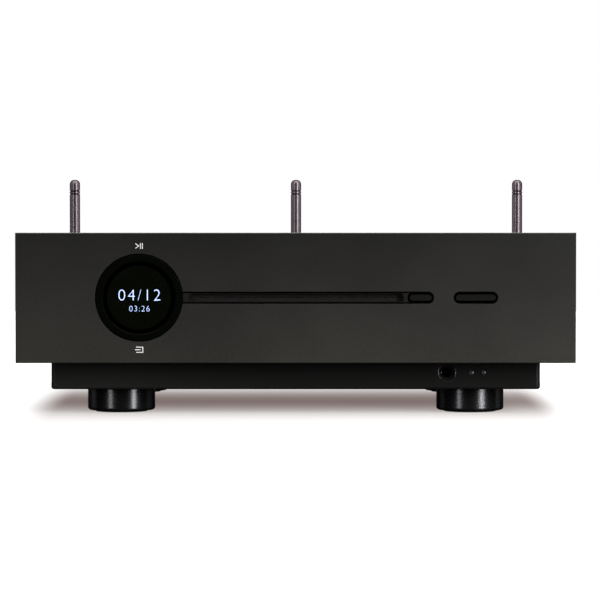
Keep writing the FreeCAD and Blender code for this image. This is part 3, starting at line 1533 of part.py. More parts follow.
front_panel()
slot_insert()
felt_lips()
base_tray()
heat_sinks()
top_cover()
rear_panel()
plinth()
feet()
screws()
display()
control_ring()
control_cradle()
control_bracket()
control_board()
buttons()
headphone_parts()
transformer()
boards()
disc_drive()
mains_inlet()
line_sockets()
binding_posts()
aerials()
document.recompute()

for item in document.Objects:
    if "Invalid" in item.State or "Error" in item.State:
        raise ValueError(f"{item.Label} did not build: {item.State}")
os.makedirs("parts", exist_ok=True)
for piece in pieces:
    shape = piece.Shape
    if shape.isNull() or not shape.isValid():
        raise ValueError(f"{piece.Label} has no sound shape")
    shape.exportStep(f"parts/{piece.Label}.step")
    print(piece.Label, len(shape.Solids), round(shape.Volume, 1))
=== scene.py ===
# %% [markdown]
# # Dressing a streaming amplifier
#
# The amplifier is already built as solid parts: a thick front panel, a plinth on turned feet, a display in a
# control ring, buttons, sockets and three short aerials. This lesson gives those parts their finishes, adds the
# printed marks and small metal pieces that the solids leave out, and sets up the light and the camera.
# Everything is measured in metres, and the floor lies at height zero.

# %% The fixed parts
import json
import math

import bpy
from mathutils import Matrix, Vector


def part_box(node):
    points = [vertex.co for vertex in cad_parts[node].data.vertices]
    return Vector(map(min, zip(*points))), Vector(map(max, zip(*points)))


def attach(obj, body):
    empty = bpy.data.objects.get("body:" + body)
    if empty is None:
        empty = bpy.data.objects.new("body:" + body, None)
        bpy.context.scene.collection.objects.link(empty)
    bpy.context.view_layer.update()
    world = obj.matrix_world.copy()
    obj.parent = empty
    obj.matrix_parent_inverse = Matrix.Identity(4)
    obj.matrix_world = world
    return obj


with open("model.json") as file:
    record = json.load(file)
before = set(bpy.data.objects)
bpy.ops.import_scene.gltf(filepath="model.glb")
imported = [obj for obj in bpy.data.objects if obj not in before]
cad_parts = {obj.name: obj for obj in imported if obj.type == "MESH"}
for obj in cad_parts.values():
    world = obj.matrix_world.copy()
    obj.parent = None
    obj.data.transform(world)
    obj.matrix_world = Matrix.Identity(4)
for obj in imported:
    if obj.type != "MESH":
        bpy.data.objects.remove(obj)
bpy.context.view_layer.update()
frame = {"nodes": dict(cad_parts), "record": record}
nodes = frame["nodes"]
MM = 0.001
panel_low, panel_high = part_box("front_panel")

# %% [markdown]
# ## Effects that several finishes share
#
# Blasted aluminium, powder paint and moulded plastic all show a fine grain, and every metal edge on the real
# object is slightly rounded and catches light. These could be drawn into each material again and again. A node
# group holds each effect once, with named inputs, and each material places it with its own numbers. First come
# a few short functions for the steps that every group and material needs: adding a node, joining it up, doing a
# sum.

# %% Adding and joining nodes


def fill(tree, node, values):
    """Set a node's inputs by name or number. A node's output is linked, and anything else is a value."""
    for key, value in values.items():
        if isinstance(value, bpy.types.NodeSocket):
            tree.links.new(value, node.inputs[key])
        else:
            node.inputs[key].default_value = value
    return node


def add(tree, kind, values=None, **settings):
    """Add a node. Settings are its own options, values are its inputs."""
    node = tree.nodes.new(f"ShaderNode{kind}")
    for key, value in settings.items():
        setattr(node, key, value)
    return fill(tree, node, values or {})


def maths(tree, operation, first, second=0.5, third=0.5, clamp=False):
    """Add one step of arithmetic."""
    return add(tree, "Math", {0: first, 1: second, 2: third}, operation=operation, use_clamp=clamp).outputs[0]


def ramp(tree, value, start_at, end_at, low=0.0, high=1.0, **settings):
    """Turn a value that runs from one number to another into one that runs from low to high."""
    return add(tree, "MapRange", {"Value": value, "From Min": start_at, "From Max": end_at, "To Min": low,
                                  "To Max": high}, **settings).outputs["Result"]


def place_in(tree, axis=None):
    """Give the object's own coordinates, or only the X, Y or Z of them."""
    place = add(tree, "TexCoord").outputs["Object"]
    return add(tree, "SeparateXYZ", {0: place}).outputs[axis] if axis else place


def noise(tree, scale, detail=2.0, place=None, **values):
    """Add noise on the object's own coordinates, or on others that are given."""
    if place is None:
        place = place_in(tree)
    return add(tree, "TexNoise", {"Vector": place, "Scale": scale, "Detail": detail, **values}).outputs["Fac"]


print("node tools ready")

# %% [markdown]
# Colours are mixed by a mask, or made lighter and darker by a factor. A group is started from the list of what
# goes in and what comes out, so its inputs can be read like the knobs of an instrument.

# %% Colours and groups


def times(tree, colour, factor):
    """Make a colour lighter or darker by a factor."""
    return add(tree, "VectorMath", {0: colour, "Scale": factor}, operation="SCALE").outputs[0]


def blend_colour(tree, factor, first, second):
    """Mix two colours by a factor, on the two inputs that a Mix node has for colours."""
    node = add(tree, "Mix", {"Factor": factor}, data_type="RGBA")
    for_colours = [number for number, socket in enumerate(node.inputs) if socket.type == "RGBA"]
    fill(tree, node, dict(zip(for_colours, (first, second))))
    return next(socket for socket in node.outputs if socket.type == "RGBA")


def new_group(name, inputs, outputs):
    """Make a shader node group. Inputs are (name, kind, default), outputs are (name, kind)."""
    group = bpy.data.node_groups.new(name, "ShaderNodeTree")
    for label, kind, default in inputs:
        socket = group.interface.new_socket(label, in_out="INPUT", socket_type=f"NodeSocket{kind}")
        socket.default_value = default
    for label, kind in outputs:
        group.interface.new_socket(label, in_out="OUTPUT", socket_type=f"NodeSocket{kind}")
    return group, group.nodes.new("NodeGroupInput").outputs, group.nodes.new("NodeGroupOutput")


def use_group(tree, group, values):
    """Place a node group with its own values and give back its outputs."""
    node = tree.nodes.new("ShaderNodeGroup")
    node.node_tree = group
    return fill(tree, node, values).outputs


print("colour tools ready")

# %% [markdown]
# The grain is fine noise with a slower, cloudy one over it. Both together change the colour and the roughness a
# little, and the fine one alone gives the surface its relief. A Bevel node rounds the normals at every edge,
# which makes a thin line of light there without any change to the mesh.

# %% Fine grain
grain, given, grain_out = new_group(
    "fine_grain",
    [
        ("Colour", "Color", (0.1, 0.1, 0.1, 1)),
        ("Roughness", "Float", 0.5),
        ("Grains per metre", "Float", 3000.0),
        ("Colour change", "Float", 0.2),
        ("Roughness change", "Float", 0.1),
        ("Depth", "Float", 0.00002),
        ("Edge radius", "Float", 0.0002),
    ],
    [("Colour", "Color"), ("Roughness", "Float"), ("Normal", "Vector")],
)
place = place_in(grain)
fine = noise(grain, given["Grains per metre"], 2.0, place)
cloud = noise(grain, 22.0, 3.0, place)
fine_part = maths(grain, "MULTIPLY_ADD", fine, 0.8, -0.4)
both = maths(grain, "ADD", fine_part, maths(grain, "MULTIPLY_ADD", cloud, 0.6, -0.3))
shade = times(grain, given["Colour"], maths(grain, "MULTIPLY_ADD", both, given["Colour change"], 1.0))
rough = maths(grain, "MULTIPLY_ADD", both, given["Roughness change"], given["Roughness"], clamp=True)
edge = add(grain, "Bevel", {"Radius": given["Edge radius"]}, samples=6).outputs["Normal"]
bump = add(grain, "Bump", {"Height": fine, "Distance": given["Depth"], "Normal": edge}).outputs["Normal"]
fill(grain, grain_out, {"Colour": shade, "Roughness": rough, "Normal": bump})
print("grain group:", len(grain.nodes), "nodes")

# %% [markdown]
# An edge is found by asking for a normal that is averaged over a small radius and comparing it with the true
# one. On a flat face they agree, and near an edge they differ. The difference, broken up by noise, says where
# the finish is rubbed a little lighter by hands and cloths. Dust is the same idea with another test: it lies in
# specks wherever a face looks upwards.

# %% Edge wear and dust
wear, given, wear_out = new_group(
    "edge_wear", [("Radius", "Float", 0.0006), ("Amount", "Float", 0.5)], [("Mask", "Float")]
)
round_normal = add(wear, "Bevel", {"Radius": given["Radius"]}, samples=6).outputs["Normal"]
true_normal = add(wear, "NewGeometry").outputs["Normal"]
agree = add(wear, "VectorMath", {0: round_normal, 1: true_normal}, operation="DOT_PRODUCT").outputs["Value"]
mask = maths(wear, "MULTIPLY", ramp(wear, agree, 0.99, 0.80), ramp(wear, noise(wear, 160.0, 3.0), 0.35, 0.65))
fill(wear, wear_out, {"Mask": maths(wear, "MULTIPLY", mask, given["Amount"], clamp=True)})

dust, given, dust_out = new_group("dust", [("Amount", "Float", 0.1)], [("Mask", "Float")])
upward = add(dust, "SeparateXYZ", {0: add(dust, "NewGeometry").outputs["Normal"]}).outputs["Z"]
mask = maths(dust, "MULTIPLY", ramp(dust, upward, 0.6, 1.0), ramp(dust, noise(dust, 700.0, 4.0), 0.5, 0.72))
fill(dust, dust_out, {"Mask": maths(dust, "MULTIPLY", mask, given["Amount"], clamp=True)})
print("masks:", wear.name, "and", dust.name)

# %% [markdown]
# A lathe leaves fine rings round a turned part. Seen from the side they are level lines, so noise that changes
# only with the height is enough for feet and rods. A second noise, drawn out upright, makes the lines a little
# uneven.

# %% Turned lines
turned, given, turned_out = new_group(
    "turned_lines", [("Lines per metre", "Float", 4000.0), ("Change", "Float", 0.05)], [("Value", "Float")]
)
drawn_out = add(turned, "Mapping", {"Vector": place_in(turned), "Scale": (8.0, 8.0, 1.0)}).outputs[0]
uneven = noise(turned, 12.0, 2.0, drawn_out)
up_in_lines = maths(turned, "MULTIPLY", place_in(turned, "Z"), given["Lines per metre"])
rings = add(turned, "TexNoise", {"W": up_in_lines, "Scale": 1.0, "Detail": 1.0}, noise_dimensions="1D")
mixed = maths(turned, "ADD", rings.outputs["Fac"], maths(turned, "MULTIPLY", uneven, 0.3))
centred = maths(turned, "SUBTRACT", mixed, 0.65)
fill(turned, turned_out, {"Value": maths(turned, "MULTIPLY", centred, given["Change"])})
print("groups:", [group.name for group in bpy.data.node_groups])

# %% [markdown]
# ## Finishes
#
# Most parts of the amplifier are metal or plastic with one even colour. What sets them apart is how rough they
# are, how coarse their grain is, how bright their edges are and how much dust they hold. One function builds
# that kind of finish from those numbers. Parts that need a pattern of their own get it afterwards.

# %% The common finish
materials = {}
DUST_COLOUR = (0.35, 0.34, 0.32, 1)


def new_material(name):
    """Start a material and give back its node tree and its main shader."""
    material = bpy.data.materials.new(name)
    material.use_nodes = True
    materials[name] = material
    return material.node_tree, material.node_tree.nodes["Principled BSDF"]


def finish(name, colour, roughness, metal=0.0, grains=3000.0, change=0.15, rough_change=0.1, depth=8e-6,
           edge=2e-4, worn=0.25, dusty=0.03, lines=None, coat=0.0, specular=0.3):
    """Build an even finish with grain, worn edges and a little dust."""
    tree, shader = new_material(name)
    base = use_group(tree, grain, {
        "Colour": (*colour, 1), "Roughness": roughness, "Grains per metre": grains, "Colour change": change,
        "Roughness change": rough_change, "Depth": depth, "Edge radius": edge,
    })
    bright = tuple(min(1.0, value * 2.2 + 0.03) for value in colour)
    rubbed = use_group(tree, wear, {"Radius": 3 * edge, "Amount": worn})["Mask"]
    settled = use_group(tree, dust, {"Amount": dusty})["Mask"]
    colour_now = blend_colour(tree, rubbed, base["Colour"], (*bright, 1))
    colour_now = blend_colour(tree, settled, colour_now, DUST_COLOUR)
    rough_now = base["Roughness"]
    if lines:
        rings = use_group(tree, turned, {"Lines per metre": lines[0], "Change": lines[1]})["Value"]
        rough_now = maths(tree, "ADD", rough_now, rings, clamp=True)
    rough_now = maths(tree, "ADD", rough_now, maths(tree, "MULTIPLY", settled, 0.5), clamp=True)
    fill(tree, shader, {"Base Color": colour_now, "Roughness": rough_now, "Normal": base["Normal"],
                        "Metallic": metal, "Coat Weight": coat, "Specular IOR Level": specular})
    return tree, shader, base["Colour"]


print("common finish ready, with dust of colour", DUST_COLOUR[:3])

# %% [markdown]
# Now each finish is one line of numbers: its colour, its roughness, and what else differs from the common case.
# The panel is dark blasted aluminium with a coarse grain, the ring is gloss black, and the feet and rods are
# turned metal.

# %% Even finishes
FRONT_COLOUR = (0.0109, 0.0101, 0.0086)
finish("panel_metal", FRONT_COLOUR, 0.46, grains=1000, change=1.6, depth=1.4e-5, edge=1.5e-4, worn=0.05,
       specular=0.30)
finish("insert_metal", FRONT_COLOUR, 0.46, grains=1000, change=1.6, depth=1.4e-5, worn=0.0, specular=0.06)
finish("cap_metal", (0.0074, 0.0074, 0.0066), 0.42, change=0.3, depth=6e-6, edge=5e-5, worn=0.0, specular=0.03)
finish("ring_gloss", (0.0014, 0.0019, 0.0012), 0.20, grains=900, change=0.2, rough_change=0.03, depth=4e-7,
       edge=4e-5, worn=0.0, dusty=0.01, specular=0.05)
finish("holder_plastic", (0.012, 0.012, 0.012), 0.5)
finish("plinth_paint", (0.0080, 0.0078, 0.0074), 0.38, grains=2200, change=0.4, edge=5e-5, worn=0.0, specular=0.12)
finish("foot_metal", (0.0655, 0.0665, 0.070), 0.26, metal=0.93, grains=1500, change=0.3, depth=1e-6, worn=0.0,
       lines=(9000.0, 0.05))
finish("pad_rubber", (0.012, 0.012, 0.012), 0.75, grains=1800, depth=2e-5, worn=0.05)
finish("sink_metal", (0.012, 0.012, 0.0118), 0.42, grains=1800, change=0.4, worn=0.45)
finish("case_paint", (0.0135, 0.0133, 0.0130), 0.50, grains=1500, change=0.35, depth=3e-5, worn=0.2, dusty=0.05)
finish("tray_steel", (0.48, 0.49, 0.49), 0.34, metal=1.0, grains=900, change=0.25, rough_change=0.25, depth=2e-6)
finish("screw_black", (0.012, 0.012, 0.013), 0.3, metal=0.3, grains=2500, worn=0.6)
finish("screw_zinc", (0.55, 0.55, 0.53), 0.3, metal=1.0, grains=1200, rough_change=0.2, depth=2e-6)
finish("socket_plastic", (0.005, 0.005, 0.005), 0.40, grains=2400, depth=1e-5, worn=0.1, specular=0.1)
finish("socket_ring", (0.13, 0.13, 0.125), 0.32, metal=1.0, grains=2500, depth=2e-6)
finish("transistor_body", (0.012, 0.012, 0.012), 0.55)
finish("gold", (0.78, 0.55, 0.20), 0.22, metal=1.0, grains=1600, change=0.1, depth=1e-6, lines=(6000.0, 0.08))
finish("nickel", (0.60, 0.58, 0.54), 0.22, metal=1.0, grains=1600, change=0.1, depth=1e-6)
finish("post_black", (0.008, 0.008, 0.008), 0.22, grains=1200, depth=1e-6, coat=0.5)
finish("post_red", (0.38, 0.012, 0.010), 0.22, grains=1200, depth=1e-6, coat=0.5)
finish("aerial_metal", (0.205, 0.168, 0.188), 0.38, metal=0.8, grains=2600, change=0.2, depth=1e-6, worn=0.0,
       lines=(5000.0, 0.04), specular=0.0)
finish("knuckle_metal", (0.030, 0.028, 0.030), 0.35, metal=0.6, grains=2400, depth=3e-6, worn=0.3)
finish("roller_rubber", (0.07, 0.07, 0.07), 0.8, grains=1200, depth=3e-5)
finish("drive_plastic", (0.03, 0.03, 0.03), 0.45)
finish("insulator_white", (0.66, 0.65, 0.61), 0.35, grains=1800, depth=1e-6, worn=0.0)
print("even finishes:", len(materials))

# %% [markdown]
# The grooves that the lathe leaves run level round the feet and the rods. They spread a highlight up and down
# and keep it narrow from side to side, so it becomes a tall streak. The shader does this with its anisotropy,
# along a direction that is given to it: upright here, and leaning a little so that it never meets a level face
# squarely.

# %% Tall highlights on turned metal
streaks = {"foot_metal": 0.6, "aerial_metal": 0.4}
for name, spread in streaks.items():
    tree = materials[name].node_tree
    upright = add(tree, "CombineXYZ", {"X": 0.01, "Y": 0.013, "Z": 1.0}).outputs[0]
    fill(tree, tree.nodes["Principled BSDF"], {"Tangent": upright, "Anisotropic": spread,
                                               "Specular Tint": (0.08, 0.08, 0.08, 1)})
print("tall streaks on:", list(streaks))

# %% [markdown]
# A painted shade makes a rod darkest where its side turns away, and a little darker again where it faces
# straight ahead, between the streaks of the two lamps. Layer Weight tells how far the surface turns away. Two
# narrow grooves lie under the tip of each rod, and painted shade makes them nearly black.

# %% Painted shade on round rods and in their two grooves
aerial_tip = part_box("aerial_rod_left")[1].z
GROOVES_BELOW_TIP = (7.3 * MM, 9.3 * MM)
HALF_GROOVE = 0.45 * MM


def retone(tree, factor):
    """Make the colour that a finish already has lighter or darker by a factor."""
    target = tree.nodes["Principled BSDF"].inputs["Base Color"]
    tree.links.new(times(tree, target.links[0].from_socket, factor), target)


tree = materials["aerial_metal"].node_tree
# Painted shade: darker where the rod turns away, a little darker straight ahead, nearly black in the grooves.
sideways = add(tree, "LayerWeight", {"Blend": 0.5}).outputs["Facing"]
rod_painted_shade = maths(tree, "MULTIPLY", ramp(tree, sideways, 0.32, 0.62, 1.0, 0.04), ramp(tree, sideways, 0.0, 0.10, 0.35))
height = place_in(tree, "Z")
for below_tip in GROOVES_BELOW_TIP:
    groove = maths(tree, "COMPARE", height, aerial_tip - below_tip, HALF_GROOVE)
    rod_painted_shade = maths(tree, "MULTIPLY", rod_painted_shade, maths(tree, "MULTIPLY_ADD", groove, -0.85, 1.0))
retone(tree, rod_painted_shade)
print("grooves under each tip:", len(GROOVES_BELOW_TIP))

# %% [markdown]
# The caps and the slot insert are bright only on the flat face that looks forward. Their sloped flanks lie deep
# between the panel's edges, and painted shade keeps them almost black, which draws the dark outline round every
# button. Painted light makes the panel lighter toward its lower edge and the plinth lighter toward its left end,
# so each colour is scaled by a ramp along one coordinate.

# %% Painted shade on flanks, painted light on panel and plinth
# Painted shade: the colour is darkened on every face that does not look straight forward.
for name in ("cap_metal", "insert_metal"):
    tree = materials[name].node_tree
    backward = add(tree, "SeparateXYZ", {0: add(tree, "NewGeometry").outputs["True Normal"]}).outputs["Y"]
    retone(tree, ramp(tree, backward, -0.80, -0.97, 0.04))

# Painted light: the panel's colour grows lighter toward its lower edge.
tree = materials["panel_metal"].node_tree
retone(tree, ramp(tree, place_in(tree, "Z"), panel_high.z, panel_low.z, 0.35, 1.80))
# Painted light: the plinth's colour grows lighter toward its left end.
tree = materials["plinth_paint"].node_tree
retone(tree, ramp(tree, place_in(tree, "X"), panel_low.x, 0.0, 2.1, 1.0))
print("panel tone runs over", round((panel_high.z - panel_low.z) / MM, 1), "mm")

# %% [markdown]
# ## Finishes with a pattern of their own
#
# The display glass is smoked and polished, and its smudges are only a slow change of roughness. Behind it lies
# a dark screen, which glows a very little, because a lit panel is never quite black. The two lenses are clear
# plastic over a dark ground.

# %% Glass, lenses and screen


def clear_finish(name, ground, values):
    """Build a glass or clear plastic from the grain group and the shader's own plain values."""
    tree, shader = new_material(name)
    surface = use_group(tree, grain, ground)
    fill(tree, shader, {"Base Color": surface["Colour"], "Roughness": surface["Roughness"], **values})


clear_finish("window_glass", {"Colour": (0.34, 0.36, 0.35, 1), "Roughness": 0.03, "Grains per metre": 60.0,
                              "Colour change": 0.05, "Roughness change": 0.03},
             {"Transmission Weight": 1.0, "IOR": 1.45})
clear_finish("lens_clear", {"Colour": (0.05, 0.05, 0.05, 1), "Roughness": 0.16, "Grains per metre": 2000.0,
                            "Colour change": 0.2, "Roughness change": 0.05},
             {"Coat Weight": 1.0, "Transmission Weight": 0.1, "IOR": 1.49})
tree, shader, _ = finish("screen", (0.0020, 0.0032, 0.0028), 0.35, grains=6000, change=0.3, depth=0.0, worn=0.0,
                         dusty=0.0, specular=0.0)
fill(tree, shader, {"Emission Color": (0.19, 0.23, 0.13, 1), "Emission Strength": 0.032})
print("clear finishes and the screen ready")

# %% [markdown]
# Felt is a mat of short fibres that light up at grazing angles, which the shader's sheen gives. Noise that is
# squeezed upright makes the fibres, and larger noise gathers them into tufts. At the right end of the slot the
# wall shades the felt, so painted light makes it lighter there and the slot keeps an even tone.

# %% Felt
tree, shader = new_material("felt")
where = place_in(tree)
squeezed = add(tree, "Mapping", {"Vector": where, "Scale": (1.0, 1.0, 2.5)}).outputs[0]
fibres = noise(tree, 2400.0, 4.0, squeezed, Roughness=0.7)
matting = ramp(tree, maths(tree, "MULTIPLY", fibres, noise(tree, 300.0, 2.0, where)), 0.1, 0.45)
fleece = blend_colour(tree, matting, (0.0035, 0.0025, 0.0025, 1), (0.011, 0.008, 0.008, 1))
# Painted light: the felt's colour is raised toward the slot's right end, which the end wall shades.
painted_light_right_end = ramp(tree, place_in(tree, "X"), 56.0 * MM, 58.5 * MM, 1.0, 2.4)
fluff = add(tree, "Bump", {"Height": fibres, "Distance": 1e-4}).outputs[0]
fill(tree, shader, {"Base Color": times(tree, fleece, painted_light_right_end), "Normal": fluff, "Roughness": 0.95,
                    "Specular IOR Level": 0.2, "Sheen Weight": 0.08, "Sheen Roughness": 0.5})
print("felt:", len(tree.nodes), "nodes")

# %% [markdown]
# Circuit boards carry lighter copper lines under green lacquer, which the joints of a brick pattern draw. The
# ring-core transformer is wrapped in overlapping turns of tape that run round its axis, so its pattern follows
# the angle about that axis.

# %% Boards, tape and sleeves
tree, shader, lacquer = finish("board_green", (0.008, 0.055, 0.022), 0.32, grains=900, worn=0.05)
tracks = add(tree, "TexBrick", {"Vector": place_in(tree), "Scale": 90.0, "Mortar Size": 0.03}).outputs["Fac"]
copper = blend_colour(tree, maths(tree, "MULTIPLY", tracks, 0.6), lacquer, (0.03, 0.13, 0.05, 1))
fill(tree, shader, {"Base Color": copper})

TAPE_TURNS = 40
core_low, core_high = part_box("power_transformer")
core = (core_low + core_high) / 2
tree, shader = new_material("winding_tape")
about_core = add(tree, "Mapping", {"Vector": place_in(tree), "Location": tuple(-core)}).outputs[0]
axes = add(tree, "SeparateXYZ", {0: about_core}).outputs
angle = maths(tree, "ARCTAN2", axes["Y"], axes["X"])
turns = maths(tree, "FRACT", maths(tree, "MULTIPLY", angle, TAPE_TURNS / math.tau))
tape = blend_colour(tree, ramp(tree, turns, 0.85, 1.0), (0.62, 0.40, 0.04, 1), (0.30, 0.17, 0.02, 1))
overlap = add(tree, "Bump", {"Height": turns, "Distance": 2e-4}).outputs[0]
fill(tree, shader, {"Base Color": tape, "Normal": overlap, "Roughness": 0.35})

finish("capacitor_sleeve", (0.010, 0.014, 0.03), 0.25, grains=500, worn=0.0, coat=0.4)
print("finishes:", sorted(materials))

# %% [markdown]
# Each solid part names the finish that it takes, so the materials are handed out by that name.

# %% Dressing the solid parts
record = frame["record"]
for part in record["subparts"]:
    node = nodes[part["node"]]
    node.data.materials.clear()
    node.data.materials.append(materials[part["material_slot"]])
print("dressed:", len(record["subparts"]), "parts")

# %% [markdown]
# ## Hand tools
#
# The small pieces that follow are modelled as by hand, and a few helpers stand for the clicks of a modeller. An
# operator works on whatever is selected, and the loaded parts come in selected. So each piece starts with an
# empty selection. A finished piece keeps its place in its mesh, with its own origin at zero, so that patterns
# which follow the object's coordinates don't slide.

# %% Selecting and placing


def deselect():
    """Start from an empty selection."""
    bpy.ops.object.select_all(action="DESELECT")


def settle():
    """Put the selected piece's place, turn and size into its mesh."""
    bpy.ops.object.transform_apply(location=True, rotation=True, scale=True)


def only(piece):
    """Select one piece and nothing else."""
    deselect()
    piece.select_set(True)
    bpy.context.view_layer.objects.active = piece


def start(name):
    """Name the primitive that was just added and put its place into its mesh."""
    piece = bpy.context.object
    piece.name = name
    piece.data.name = name
    only(piece)
    settle()
    return piece


print("selecting tools ready")

# %% [markdown]
# Faces and edges are picked by a test on where their middle lies or which way they look. Then edit mode shapes
# them. Modifiers are applied at once, so that every piece ends as a plain mesh.

# %% Picking and shaping


def pick(piece, kind, test):
    """Go to edit mode with the faces or edges selected whose middle and normal pass a test."""
    bpy.ops.object.mode_set(mode="EDIT")
    bpy.ops.mesh.select_mode(type=kind)
    bpy.ops.mesh.select_all(action="DESELECT")
    bpy.ops.object.mode_set(mode="OBJECT")
    mesh = piece.data
    if kind == "FACE":
        for face in mesh.polygons:
            face.select = test(face.center, face.normal)
    else:
        for edge in mesh.edges:
            a, b = (mesh.vertices[index].co for index in edge.vertices)
            edge.select = test((a + b) / 2, (b - a).normalized())
    bpy.ops.object.mode_set(mode="EDIT")


def done():
    """Leave edit mode."""
    bpy.ops.object.mode_set(mode="OBJECT")


def apply(piece, kind, **values):
    """Add a modifier with the given values and apply it at once."""
    only(piece)
    modifier = piece.modifiers.new(kind.title(), kind)
    for key, value in values.items():
        setattr(modifier, key, value)
    bpy.ops.object.modifier_apply(modifier=modifier.name)


print("shaping tools ready")

# %% [markdown]
# What repeats is made once and copied, each copy with its own mesh, and the copies are joined. A finished piece
# gets its material and the body that it moves with.

# %% Copying and finishing
finished = []


def copy_to(piece, name, shift):
    """Copy a piece with its own mesh and move the copy's mesh."""
    twin = piece.copy()
    twin.data = piece.data.copy()
    twin.name = name
    twin.data.name = name
    bpy.context.collection.objects.link(twin)
    only(twin)
    bpy.ops.transform.translate(value=shift)
    settle()
    return twin


def join(name, parts):
    """Join several meshes into one piece."""
    deselect()
    for part in parts:
        part.select_set(True)
    bpy.context.view_layer.objects.active = parts[0]
    bpy.ops.object.join()
    parts[0].name = name
    parts[0].data.name = name
    return parts[0]


def dress(piece, material, body="chassis"):
    """Give a finished piece its material and the body that it moves with."""
    piece.data.materials.clear()
    piece.data.materials.append(material)
    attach(piece, body)
    finished.append(piece)


print("copying tools ready")

# %% [markdown]
# ## The display
#
# Behind the glass the screen shows a track number out of the tracks on the disc, and below it the time. The
# figures could be painted by the screen's material, but real outlines stay sharp at any zoom. Two text objects
# become thin meshes that lie just in front of the screen and glow a bluish white.

# %% Glowing figures
tree, shader = new_material("lit_figures")
glow = blend_colour(tree, noise(tree, 9000.0, 0.0), (0.40, 0.50, 0.98, 1), (0.56, 0.66, 1.0, 1))
fill(tree, shader, {"Emission Color": glow, "Emission Strength": 6.0, "Base Color": (0.02, 0.02, 0.03, 1),
                    "Roughness": 0.5})

dial_low, dial_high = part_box("control_ring")
dial = (dial_low + dial_high) / 2
screen_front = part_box("display_module")[0].y


def write(name, words, middle, thickness, width=0.0, height=0.0, turn=0.0):
    """Set figures upright as a thin mesh about a middle, made as wide or as high as asked."""
    deselect()
    bpy.ops.object.text_add(location=(0, 0, 0), rotation=(math.pi / 2, 0, turn))
    text = bpy.context.object.data
    text.body = words
    text.align_x = "CENTER"
    text.align_y = "CENTER"
    text.size = 1.0
    text.resolution_u = 6
    text.offset = -0.02
    text.space_character = 1.17
    only(bpy.context.object)
    bpy.ops.object.convert(target="MESH")
    piece = start(name)
    size = width / piece.dimensions.x if width else height / piece.dimensions.z
    bpy.ops.transform.resize(value=(size, size, size))
    settle()
    low = Vector([min(v.co[axis] for v in piece.data.vertices) for axis in range(3)])
    high = Vector([max(v.co[axis] for v in piece.data.vertices) for axis in range(3)])
    bpy.ops.transform.translate(value=Vector(middle) - (low + high) / 2)
    settle()
    apply(piece, "SOLIDIFY", thickness=thickness, offset=0.0)
    return piece


figure_y = screen_front - 0.05 * MM
figure_x = dial.x + 0.2 * MM
track = write("display_track", "04/12", (figure_x, figure_y, 69.45 * MM), 0.04 * MM, width=23.9 * MM)
clock = write("display_time", "03:26", (figure_x, figure_y, 61.7 * MM), 0.04 * MM, width=11.6 * MM)
for piece in (track, clock):
    dress(piece, materials["lit_figures"])
print("figures:", [round(v / MM, 2) for v in track.dimensions], [round(v / MM, 2) for v in clock.dimensions])

# %% [markdown]
# ## Printed marks
#
# A play and pause mark stands above the ring and an input mark below it, in white ink. Each mark starts as a
# flat plate. It is cut along straight lines, the faces between the strokes are deleted, and the rest gets the
# thickness of an ink layer. That way the strokes meet in clean corners, as in a stencil.

# %% Ink and stencils
finish("white_ink", (0.80, 0.79, 0.78), 0.6, grains=4000, depth=3e-6, edge=2e-5, worn=0.0, dusty=0.0)
INK = 0.03 * MM
STROKE = 0.48 * MM


def stencil(name, middle, width, height, cuts, keep):
    """Cut an upright plate along lines given as (point, normal) and keep the faces that pass a test."""
    deselect()
    bpy.ops.mesh.primitive_plane_add(size=1, rotation=(math.pi / 2, 0, 0))
    bpy.context.object.scale = (width, height, 1)
    piece = start(name)
    for (across, up), (nx, nz) in cuts:
        pick(piece, "FACE", lambda centre, normal: True)
        bpy.ops.mesh.bisect(plane_co=(across, 0, up), plane_no=(nx, 0, nz))
        done()
    pick(piece, "FACE", lambda centre, normal: not keep(centre.x, centre.z))
    bpy.ops.mesh.delete(type="FACE")
    bpy.ops.mesh.select_all(action="SELECT")
    bpy.ops.transform.translate(value=middle)
    done()
    apply(piece, "SOLIDIFY", thickness=INK, offset=0.0)
    return piece


print("ink is", INK / MM, "mm thick")

# %% [markdown]
# The play mark is a chevron, cut along both sides of its two sloping arms. The pause mark keeps the two ends of
# a small plate. The input mark keeps a frame that is open at its left, and a bar that runs into it from there.

# %% Play, pause and input marks
front = panel_low.y
above_ring, below_ring = 97.5 * MM, 38.3 * MM
arm = Vector((2.5 * MM, 1.75 * MM)).normalized()
slope_x, slope_z = arm.y, arm.x
tip = 1.15 * MM
chevron = stencil(
    "play_mark", (dial.x - 0.75 * MM, front, above_ring), 2.4 * MM, 3.2 * MM,
    [((point, 0), (slope_x, side * slope_z)) for side in (1, -1) for point in (tip, tip - STROKE / slope_x)]
    + [((0, 0), (0, 1))],
    lambda x, z: -STROKE < slope_x * (x - tip) + slope_z * abs(z) < 0,
)

pair_half = 0.775 * MM
bars = stencil(
    "pause_mark", (dial.x + 1.45 * MM, front, above_ring), 2 * pair_half, 3.2 * MM,
    [((side * (pair_half - STROKE), 0), (1, 0)) for side in (-1, 1)],
    lambda x, z: abs(x) > pair_half - STROKE,
)

right, top, left, bar_end, half = 2.35 * MM, 1.75 * MM, -1.75 * MM, 1.0 * MM, STROKE / 2
bracket = stencil(
    "input_mark", (dial.x + 0.05 * MM, front, below_ring), 2 * right, 2 * top,
    [((0, side * up), (0, 1)) for up in (top - STROKE, half) for side in (-1, 1)]
    + [((across, 0), (1, 0)) for across in (right - STROKE, bar_end, left)],
    lambda x, z: (abs(z) > top - STROKE and x > left) or x > right - STROKE or (abs(z) < half and x < bar_end),
)
for piece in (chevron, bars, bracket):
    dress(piece, materials["white_ink"])
print("marks:", [len(piece.data.polygons) for piece in (chevron, bars, bracket)], "faces")

# %% [markdown]
# ## Small parts of the sockets
#
# The solid parts hold the shells of the sockets. What makes each socket recognisable is small and thin: bare
# metal blades, coloured rings, contact springs, a black tongue and a shutter. Every part starts from a plain
# block or a circle and is shaped by the same few steps. Repeated parts are made once and then copied.

# %% Blocks and rings


